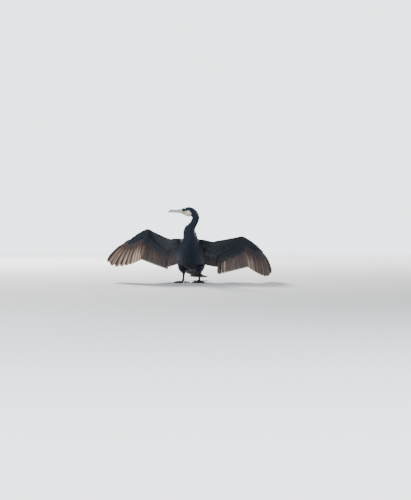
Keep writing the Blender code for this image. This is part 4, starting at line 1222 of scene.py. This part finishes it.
def small_lines(spots, normals, lengths, template, before=0.0):
    """Lines that leave the skin at their roots and follow it to their tips. A share of each line may lie
    before its spot, so that the wing's front edge is covered."""
    shares = template.shares
    lie = lies(spots)
    lie = unit(lie - (lie * normals).sum(axis=1)[:, None] * normals)
    aside = np.cross(lie, normals)
    lie = unit(lie + aside * (rng.random((len(spots), 1)) - 0.5) * 0.30)
    size = lengths[:, None]
    start, _, _ = on_skin(spots - lie * size * before, lengths * 0.5)
    middle, _, _ = on_skin(spots + lie * size * (0.5 - before), lengths * 0.4)
    tip, _, _ = on_skin(middle + unit(middle - spots) * size * 0.5, lengths * 0.5)
    t = shares[None, :, None]
    start, middle, tip = start[:, None], middle[:, None], tip[:, None]
    centre = start * (1 - t) * (1 - 2 * t) + middle * 4 * t * (1 - t) + tip * t * (2 * t - 1)
    normal = np.repeat(normals[:, None], len(shares), axis=1)
    for k in range(len(shares)):
        places, found, near = on_skin(centre[:, k], lengths * 0.35)
        centre[near, k], normal[near, k] = places[near], found[near]
    slope = unit(np.gradient(centre, axis=1))
    side = unit(np.cross(slope, normal))
    normal = unit(np.cross(side, slope))
    rise = lengths[:, None] * mix(-SINK, LIFT, shares[None])
    centre = centre + normal * rise[..., None]
    width = along_body(spots, BODY_WIDTH, HEAD_WIDTH)
    half = (lengths * width)[:, None] / 2 * rounded(shares, ((0, 0.50), (0.45, 1.0), (1, 0.85)), 0.45)
    thick = np.clip(lengths * 0.008, 0.00006, 0.00014)[:, None] * (1 - 0.6 * shares)
    count = len(spots)
    return {
        "centre": centre,
        "side": side,
        "normal": normal,
        "left": half,
        "right": half,
        "thick": thick,
        "leads": np.ones(count),
        "camber": np.full(count, 0.05),
    }


# %% Coats of small feathers, a piece for each part of the bird
names, share, _ = limb_of(roots)
lengths = feather_lengths(roots, root_normals) * (0.88 + 0.24 * rng.random(len(roots)))
pale, _ = markings(roots)
front = root_normals[:, 1] < 0
_, body_foot = limb_of(roots)[1:]
spoke = roots - body_foot
turn = np.arctan2(spoke[:, 0], -spoke[:, 1])
unwrapped = np.stack([0.02 + 0.96 * share, 0.5 + 0.48 * turn / math.pi], axis=1)
tints = shades(len(roots), 0.30, 0.18, BLACK)
bronze = np.char.startswith(names, "wing") & (root_normals[:, 1] > 0)
bronze |= (names == "body") & faces_back(root_normals) & (on_shoulders(roots, share) > 0.5)
light = 0.8 + 0.4 * rng.random((bronze.sum(), 1))
tints[bronze] = np.hstack([np.array([BRONZE]) * light, np.full((bronze.sum(), 1), 0.95)])
tints[pale] = np.hstack([np.array([PALE]) * (0.92 + 0.08 * rng.random((pale.sum(), 1))), np.zeros((pale.sum(), 1))])
is_body = names == "body"
VENT_SHARE = 0.32
vent_share = share + (rng.random(len(roots)) - 0.5) * 0.12
coats = {
    "vent_feathers": is_body & (vent_share <= VENT_SHARE) & (root_normals[:, 2] < 0.1),
    "face_feathers": is_body & (share > HEAD_SHARE + 0.02),
    "neck_feathers_front": is_body & (share > NECK_SHARE) & (share <= HEAD_SHARE + 0.02) & front,
    "neck_feathers_back": is_body & (share > NECK_SHARE) & (share <= HEAD_SHARE + 0.02) & ~front,
    "breast_feathers": is_body & (share <= NECK_SHARE) & front,
    "back_feathers": is_body & (share <= NECK_SHARE) & ~front,
    "thigh_feathers": np.char.startswith(names, "thigh"),
    "wing_left_feathers": names == "wing_left",
    "wing_right_feathers": names == "wing_right",
}
for name in ("breast_feathers", "back_feathers"):
    coats[name] &= ~coats["vent_feathers"]
# Painted shade: the vent feathers under the belly and between the legs are darkened
tints[coats["vent_feathers"], :3] *= 0.6
for name, chosen in coats.items():
    template = TINY_VANE if name.startswith(("face", "neck")) else SMALL_VANE
    before = OVER_EDGE if name.startswith("wing") else 0.0
    lines = small_lines(roots[chosen], root_normals[chosen], lengths[chosen], template, before)
    look = COVERT_LOOK if name.startswith(("wing", "back")) else VENT_LOOK if name.startswith("vent") else BODY_LOOK
    laid(name, template, lines, tints[chosen], unwrapped[chosen], look, slot="plumage")

# %% [markdown]
# ## Bare skin
# Between the feathers, and on the throat behind the bill, the skin itself shows. Its points carry the same
# markings as the feathers, in the attribute named tint, and it is finely wrinkled.

# %% Colours and finish of the skin
spots = np.empty(len(skin.data.vertices) * 3)
skin.data.vertices.foreach_get("co", spots)
throat, bare = markings(spots.reshape(-1, 3))
shown = np.where(bare[:, None], BARE_SKIN, np.where(throat[:, None], PALE, np.array(BLACK) * 0.5))
shown = np.hstack([shown, bare[:, None].astype(float)])
skin.data.attributes.new("tint", "FLOAT_COLOR", "POINT").data.foreach_set("color", shown.astype(np.float32).ravel())


def bare_skin(name, roughness, cells_across, depth, colour=None, speckle=(0.75, 0.72, 0.68, 1), gloss=0.4):
    """Skin with small raised cells and a colour that is a little darker between them."""
    look, tree, shader = principled(name, Roughness=roughness, Specular_IOR_Level=gloss)
    place = add_node(tree, "ShaderNodeTexCoord").outputs["Object"]
    base = colour or add_node(tree, "ShaderNodeAttribute", attribute_name="tint").outputs["Color"]
    inputs = {"Vector": place, "Scale": cells_across}
    seams = add_node(tree, "ShaderNodeTexVoronoi", inputs, feature="DISTANCE_TO_EDGE").outputs["Distance"]
    raised = span(tree, seams, 0.0, 0.25)
    darker = blend_colours(tree, 1.0, base, speckle, "MULTIPLY")
    spread = span(tree, noise(tree, place, cells_across * 0.2), 0.35, 0.65)
    shade = math_node(tree, "MULTIPLY", math_node(tree, "SUBTRACT", 1.0, raised), 0.7)
    shade = math_node(tree, "MAXIMUM", shade, math_node(tree, "MULTIPLY", spread, 0.6))
    tree.links.new(blend_colours(tree, shade, base, darker), shader.inputs["Base Color"])
    bump(tree, shader, raised, 0.6, depth)
    return look


skin.data.materials.append(bare_skin("skin", 0.65, 900.0, 0.0001, gloss=0.12))
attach(skin, "root")
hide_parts(*FLESH)

# %% [markdown]
# ## The bill
# A cormorant's bill is long and narrow, with a hooked nail at its tip and a groove along each side. It is a
# tube through the same stations as the solid, with more of them. The ring points of the upper half are held
# above the line of the mouth and those of the lower half below it, which gives both halves sharp edges.

# %% Upper and lower halves of the bill
BILL = (
    (0.0190, 0.4141, 0.0104, 0.0142),
    (0.036, 0.4138, 0.0082, 0.0110),
    (0.052, 0.4136, 0.0068, 0.0092),
    (0.067, 0.4138, 0.0058, 0.0082),
    (0.080, 0.4146, 0.0054, 0.0090),
    (0.089, 0.4142, 0.0048, 0.0086),
    (0.0945, 0.4110, 0.0034, 0.0054),
    (0.0960, 0.4065, 0.0018, 0.0028),
    (0.0953, 0.4030, 0.0006, 0.0008),
)
MOUTH_FRONT, MOUTH_HEIGHT, MOUTH_SLOPE, MOUTH_GAP = 0.0890, 0.4108, math.radians(2), 0.00035
GROOVE_ANGLE, GROOVE_WIDTH, GROOVE_DEPTH = math.radians(38), math.radians(9), 0.10
BILL_POINTS, BILL_STEPS = 40, 8


def mouth_line(forward):
    return MOUTH_HEIGHT - math.sin(MOUTH_SLOPE) * (MOUTH_FRONT - forward)


def bill_rings(upper):
    """Rings of one half of the bill, from its root forward."""
    rows = smooth(BILL, BILL_STEPS)
    rings = []
    for i, (forward, height, half_width, half_height) in enumerate(rows):
        if not upper and forward > MOUTH_FRONT - 0.0006:
            break
        before, after = rows[max(i - 1, 0)], rows[min(i + 1, len(rows) - 1)]
        slope = Vector((after[0] - before[0], after[1] - before[1])).normalized()
        ring = []
        for k in range(BILL_POINTS):
            angle = math.tau * (k + 0.5) / BILL_POINTS
            from_side = min(abs(angle - GROOVE_ANGLE), abs(math.pi - angle - GROOVE_ANGLE))
            groove = 1 - GROOVE_DEPTH * math.exp(-((from_side / GROOVE_WIDTH) ** 2)) * (forward < 0.086)
            out, rise = math.cos(angle) * half_width * groove, math.sin(angle) * half_height * groove
            ahead, high = forward - rise * slope.y, height + rise * slope.x
            line = mouth_line(ahead)
            if upper and forward < MOUTH_FRONT:
                high = max(high, line + MOUTH_GAP)
            if not upper:
                closing = max(0.0, (forward - 0.080) / 0.009)
                high = min(mix(high, line - 0.002, closing * 0.6), line - MOUTH_GAP)
                out *= 1 - 0.35 * closing
            ring.append(head_point(ahead, out, high))
        rings.append(ring)
    return rings


def horn(name, pale, dark, streak):
    """Horn that is streaked along the bill, darker in the streaks."""
    look, tree, shader = principled(name, Roughness=0.32, Specular_IOR_Level=0.55, Coat_Weight=0.25, Coat_Roughness=0.15)
    place = add_node(tree, "ShaderNodeTexCoord").outputs["Object"]
    inputs = {"Vector": place, "Scale": (45.0, 420.0, 420.0), "Rotation": (0, 0, math.atan2(0.1375, 0.9905))}
    along = add_node(tree, "ShaderNodeMapping", inputs, vector_type="POINT").outputs[0]
    streaks = noise(tree, along, 1.0, 4.0)
    blotches = span(tree, noise(tree, place, 60.0), 0.45, 0.70)
    share = math_node(tree, "MULTIPLY", span(tree, streaks, 0.42, 0.66), streak)
    colour = blend_colours(tree, math_node(tree, "MAXIMUM", share, math_node(tree, "MULTIPLY", blotches, 0.3)), pale, dark)
    tree.links.new(colour, shader.inputs["Base Color"])
    bump(tree, shader, streaks, 0.3, 0.0003)
    return look


HORN_LOOK = horn("bill horn", (0.50, 0.50, 0.53, 1), (0.16, 0.16, 0.17, 1), 0.55)
LOWER_LOOK = horn("lower bill horn", (0.58, 0.55, 0.50, 1), (0.26, 0.24, 0.21, 1), 0.45)
finished("bill_upper_horn", tube(bill_rings(True)), "root", HORN_LOOK, ["bill_upper"])
finished("bill_lower_horn", tube(bill_rings(False)), "root", LOWER_LOOK, ["bill_lower"])
print("bill:", len(bill_rings(True)), "rings above and", len(bill_rings(False)), "below")

# %% [markdown]
# ## Eyes, lids and the corners of the mouth
# The eye is an emerald iris round a black pupil under a wet surface. A ball whose pole looks outward keeps,
# in a map named gaze, how far each point is from that pole, and the material draws the iris with it. Dark
# beads of skin ring the eye, and two thin lips run back from the bill to under it.

# %% Eyes
PUPIL, IRIS, RIM = 0.110, 0.225, 0.262
EYE_LOOK, tree, shader = principled("eye", Roughness=0.30, Specular_IOR_Level=0.1, Coat_Weight=0.3, Coat_Roughness=0.02)
gaze = add_node(tree, "ShaderNodeSeparateXYZ", {0: add_node(tree, "ShaderNodeUVMap", uv_map="gaze").outputs[0]}).outputs
rays = math_node(tree, "SINE", math_node(tree, "MULTIPLY", gaze[0], math.tau * 44))
flecks = math_node(tree, "ADD", noise(tree, add_node(tree, "ShaderNodeTexCoord").outputs["Object"], 1800.0), math_node(tree, "MULTIPLY", rays, 0.12))
iris = blend_colours(tree, span(tree, flecks, 0.35, 0.70), (0.005, 0.100, 0.068, 1), (0.030, 0.300, 0.200, 1))
iris = blend_colours(tree, span(tree, gaze[1], PUPIL, IRIS), iris, (0.010, 0.130, 0.095, 1))
colour = blend_colours(tree, span(tree, gaze[1], PUPIL - 0.006, PUPIL + 0.006), (0.002, 0.002, 0.003, 1), iris)
colour = blend_colours(tree, span(tree, gaze[1], IRIS, RIM), colour, (0.006, 0.008, 0.010, 1))
tree.links.new(colour, shader.inputs["Base Color"])

LID_RADIUS, LID_THICKNESS, LID_OUT, BEADS = 0.0060, 0.0009, 0.0042, 30
LID_STRETCH, LID_SLOPE, LID_DROP = 2.4, math.radians(40), 0.0014
BEADS_LOOK = bare_skin("eye ring skin", 0.4, 1500.0, 0.0001, (0.020, 0.035, 0.045, 1))
for side, centre in eyes.items():
    facing = (SIDEWAYS * SIDES[side] + FORWARD * 0.06 + UP * 0.03).normalized()
    turned = UP.rotation_difference(facing).to_matrix()
    bm = bmesh.new()
    bmesh.ops.create_uvsphere(bm, u_segments=40, v_segments=28, radius=EYE_RADIUS)
    layer = bm.loops.layers.uv.new("gaze")
    for face in bm.faces:
        middle = math.atan2(*face.calc_center_median().yx)
        for loop in face.loops:
            x, y, z = loop.vert.co
            turn = math.atan2(y, x) if math.hypot(x, y) > 1e-6 else middle
            turn += math.tau * round((middle - turn) / math.tau)
            loop[layer].uv = (turn / math.tau + 0.5, math.acos(max(-1, min(1, z / EYE_RADIUS))) / math.pi)
    bmesh.ops.rotate(bm, matrix=turned, verts=bm.verts)
    bmesh.ops.translate(bm, vec=centre, verts=bm.verts)
    finished(f"eye_{side}_ball", bm, "root", EYE_LOOK, [f"eye_{side}"])
    bm = bmesh.new()
    bmesh.ops.create_circle(bm, segments=12, radius=LID_THICKNESS)
    bmesh.ops.scale(bm, vec=(LID_STRETCH, 1, 1), verts=bm.verts)
    bmesh.ops.rotate(bm, matrix=Matrix.Rotation(math.pi / 2, 3, "X"), verts=bm.verts)
    bmesh.ops.rotate(bm, matrix=Matrix.Rotation(LID_SLOPE, 3, "Y"), verts=bm.verts)
    bmesh.ops.translate(bm, vec=(LID_RADIUS, 0, -LID_DROP), verts=bm.verts)
    bmesh.ops.spin(bm, geom=bm.edges[:], axis=UP, cent=(0, 0, 0), angle=math.tau, steps=40, use_merge=True)
    for k in range(BEADS):
        turn = math.tau * k / BEADS
        where = Matrix.Translation((math.cos(turn) * 0.0052, math.sin(turn) * 0.0052, 0.0003))
        bmesh.ops.create_uvsphere(bm, u_segments=8, v_segments=6, radius=0.00048, matrix=where)
    bmesh.ops.recalc_face_normals(bm, faces=bm.faces)
    bmesh.ops.rotate(bm, matrix=turned, verts=bm.verts)
    bmesh.ops.translate(bm, vec=centre + facing * LID_OUT, verts=bm.verts)
    finished(f"eye_{side}_lids", bm, "root", BEADS_LOOK)
print("eyes with", BEADS, "beads round each")

# %% Lips at the corners of the mouth
LIP_SPOTS = (0.0185, 0.016, 0.012, 0.008, 0.003, 0.0, -0.003, -0.006)
LIP_SWELLS = (0.45, 0.75, 1.0, 1.0, 1.0, 0.9, 0.75, 0.5)
LIP_SINK = 0.00025
LIPS_LOOK = bare_skin("lip skin", 0.45, 1300.0, 0.0001, (0.55, 0.44, 0.22, 1))
for side in SIDES:
    lips = []
    for above, radius in ((0.0007, 0.0007), (-0.0007, 0.0006)):
        table = []
        for i, ahead in enumerate(LIP_SPOTS):
            outside = head_point(ahead, SIDES[side] * 0.05, mouth_line(ahead) + above)
            place, normal, _, _ = surface.ray_cast(outside, -SIDEWAYS * SIDES[side])
            thin = radius * LIP_SWELLS[i]
            table.append((place - normal * LIP_SINK, thin, thin, thin, UP))
        lips.append(limb_tube(table, 4, 10))
    finished(f"mouth_{side}_lips", join(lips), "root", LIPS_LOOK)

# %% [markdown]
# ## Legs and webbed feet
# A cormorant has all four toes joined by webs. The scaly shank is a tube, each toe a tube with its joints
# and a separate curved claw, and each web a sheet between two toes with a hollow front edge. Whatever would
# go below the floor is pressed flat on it.

# %% Shanks, toes, webs and claws
TARSUS_RADIUS, WEB_THICKNESS = 0.0062, 0.0012
TOES = ((0.046, -66, 0.0040), (0.070, -20, 0.0046), (0.090, 5, 0.0052), (0.102, 27, 0.0052))
KNUCKLES = ((0.0, 1.45), (0.12, 1.05), (0.20, 0.98), (0.38, 1.14), (0.52, 0.92), (0.66, 1.06), (0.78, 0.80), (0.87, 0.66), (0.90, 0.30))
CLAW = ((0.86, 0.50), (0.90, 0.48), (0.94, 0.36), (0.98, 0.20), (1.0, 0.06))


def toe_line(side, number, share):
    """A point along the toe, at the height of its bones."""
    length, turn, thick = TOES[number]
    angle = math.radians(turn) * SIDES[side]
    line = Vector((math.sin(angle), -math.cos(angle), 0))
    root = on_side(side, *TOE_ROOT)
    return root + line * length * share + UP * (mix(thick, 0.0035, share) - TOE_ROOT[2])


def on_floor(bm):
    for vert in bm.verts:
        vert.co.z = max(vert.co.z, 0.0)
    bmesh.ops.recalc_face_normals(bm, faces=bm.faces)
    return bm


def shank(side):
    knee, ankle, root = (on_side(side, *p) for p in (KNEE, ANKLE, TOE_ROOT))
    upper, shin = Vector((0, -1, 0.5)), (root - ankle).normalized()
    table = (
        (mix(knee, ankle, 0.80), 0.0130, 0.0140, 0.0140, upper),
        (mix(knee, ankle, 0.98), 0.0092, 0.0098, 0.0098, upper),
        (ankle + shin * 0.010, 0.0068, 0.0076, 0.0076, upper),
        (mix(ankle, root, 0.50), TARSUS_RADIUS * 0.82, TARSUS_RADIUS * 0.98, TARSUS_RADIUS * 0.98, upper),
        (root - shin * 0.013, TARSUS_RADIUS * 0.95, TARSUS_RADIUS * 1.05, TARSUS_RADIUS * 1.05, upper),
        (root, 0.0085, 0.0080, 0.0080, upper),
        (root + shin * 0.003, 0.0050, 0.0050, 0.0050, upper),
    )
    return limb_tube(table, 6, 22)


def toe(side, number):
    thick = TOES[number][2]
    table = []
    for share, width in KNUCKLES:
        centre = toe_line(side, number, share)
        centre.z = thick * width * 0.90
        table.append((centre, thick * width * 0.95, thick * width * 0.95, thick * width, UP))
    return limb_tube(table, 4, 14)


def claw(side, number):
    thick = TOES[number][2]
    table = []
    for share, width in CLAW:
        centre = toe_line(side, number, share)
        centre.z = max(thick * (0.62 - 3.6 * (share - 0.86)), thick * width * 0.8)
        table.append((centre, thick * width * 0.8, thick * width, thick * width, UP))
    return limb_tube(table, 4, 10)


def web(side, number):
    """A sheet between two toes, sagging to the floor, its free edge drawn in."""
    across, along = 12, 14
    bm = bmesh.new()
    bmesh.ops.create_grid(bm, x_segments=across, y_segments=along, size=0.5)
    for vert in bm.verts:
        s, t = vert.co.x + 0.5, vert.co.y + 0.5
        share = mix(0.04, 0.87, t) * (1 - 0.16 * math.sin(math.pi * s))
        place = mix(toe_line(side, number, share), toe_line(side, number + 1, share), s)
        folds = 0.0004 * math.sin(5 * math.pi * s) * math.sin(math.pi * s) * t
        place.z = max(mix(0.0052, 0.0026, t) - 0.0016 * math.sin(math.pi * s) * t + folds, 0.0012)
        vert.co = place
    bmesh.ops.solidify(bm, geom=bm.faces[:], thickness=WEB_THICKNESS)
    return bm


FOOT_LOOK = bare_skin("foot skin", 0.62, 520.0, 0.0002, (0.020, 0.020, 0.022, 1), (0.45, 0.45, 0.48, 1), 0.2)
CLAW_LOOK, tree, shader = principled("claw horn", Roughness=0.25, Specular_IOR_Level=0.5)
grain = noise(tree, add_node(tree, "ShaderNodeTexCoord").outputs["Object"], 500.0)
tree.links.new(blend_colours(tree, grain, (0.010, 0.009, 0.008, 1), (0.045, 0.040, 0.036, 1)), shader.inputs["Base Color"])
for side in SIDES:
    finished(f"shank_{side}", shank(side), "root", FOOT_LOOK, [f"tarsus_{side}"])
    parts = [toe(side, k) for k in range(4)] + [web(side, k) for k in range(3)]
    finished(f"webbed_foot_{side}", on_floor(join(parts)), "root", FOOT_LOOK, [f"foot_{side}"])
    finished(f"claws_{side}", on_floor(join([claw(side, k) for k in range(4)])), "root", CLAW_LOOK)
print("feet with", len(TOES), "toes each")

# %% [markdown]
# ## The floor's finish
# The feathers may stand a little proud of the solids, but not far. The floor is pale grey with a fine grain,
# and fades out between two distances from its middle.

# %% Finish
FLOOR_NEAR, FLOOR_FAR = 1.6, 7.0
floor_look, tree, shader = principled("pale floor", Roughness=0.9)
place = add_node(tree, "ShaderNodeTexCoord").outputs["Object"]
grain = noise(tree, place, 30.0)
tree.links.new(blend_colours(tree, grain, (0.48, 0.49, 0.51, 1), (0.52, 0.53, 0.54, 1)), shader.inputs["Base Color"])
away = add_node(tree, "ShaderNodeVectorMath", {0: place}, operation="LENGTH").outputs["Value"]
tree.links.new(span(tree, away, FLOOR_NEAR, FLOOR_FAR, 1.0, 0.0), shader.inputs["Alpha"])
floor.data.materials.append(floor_look)
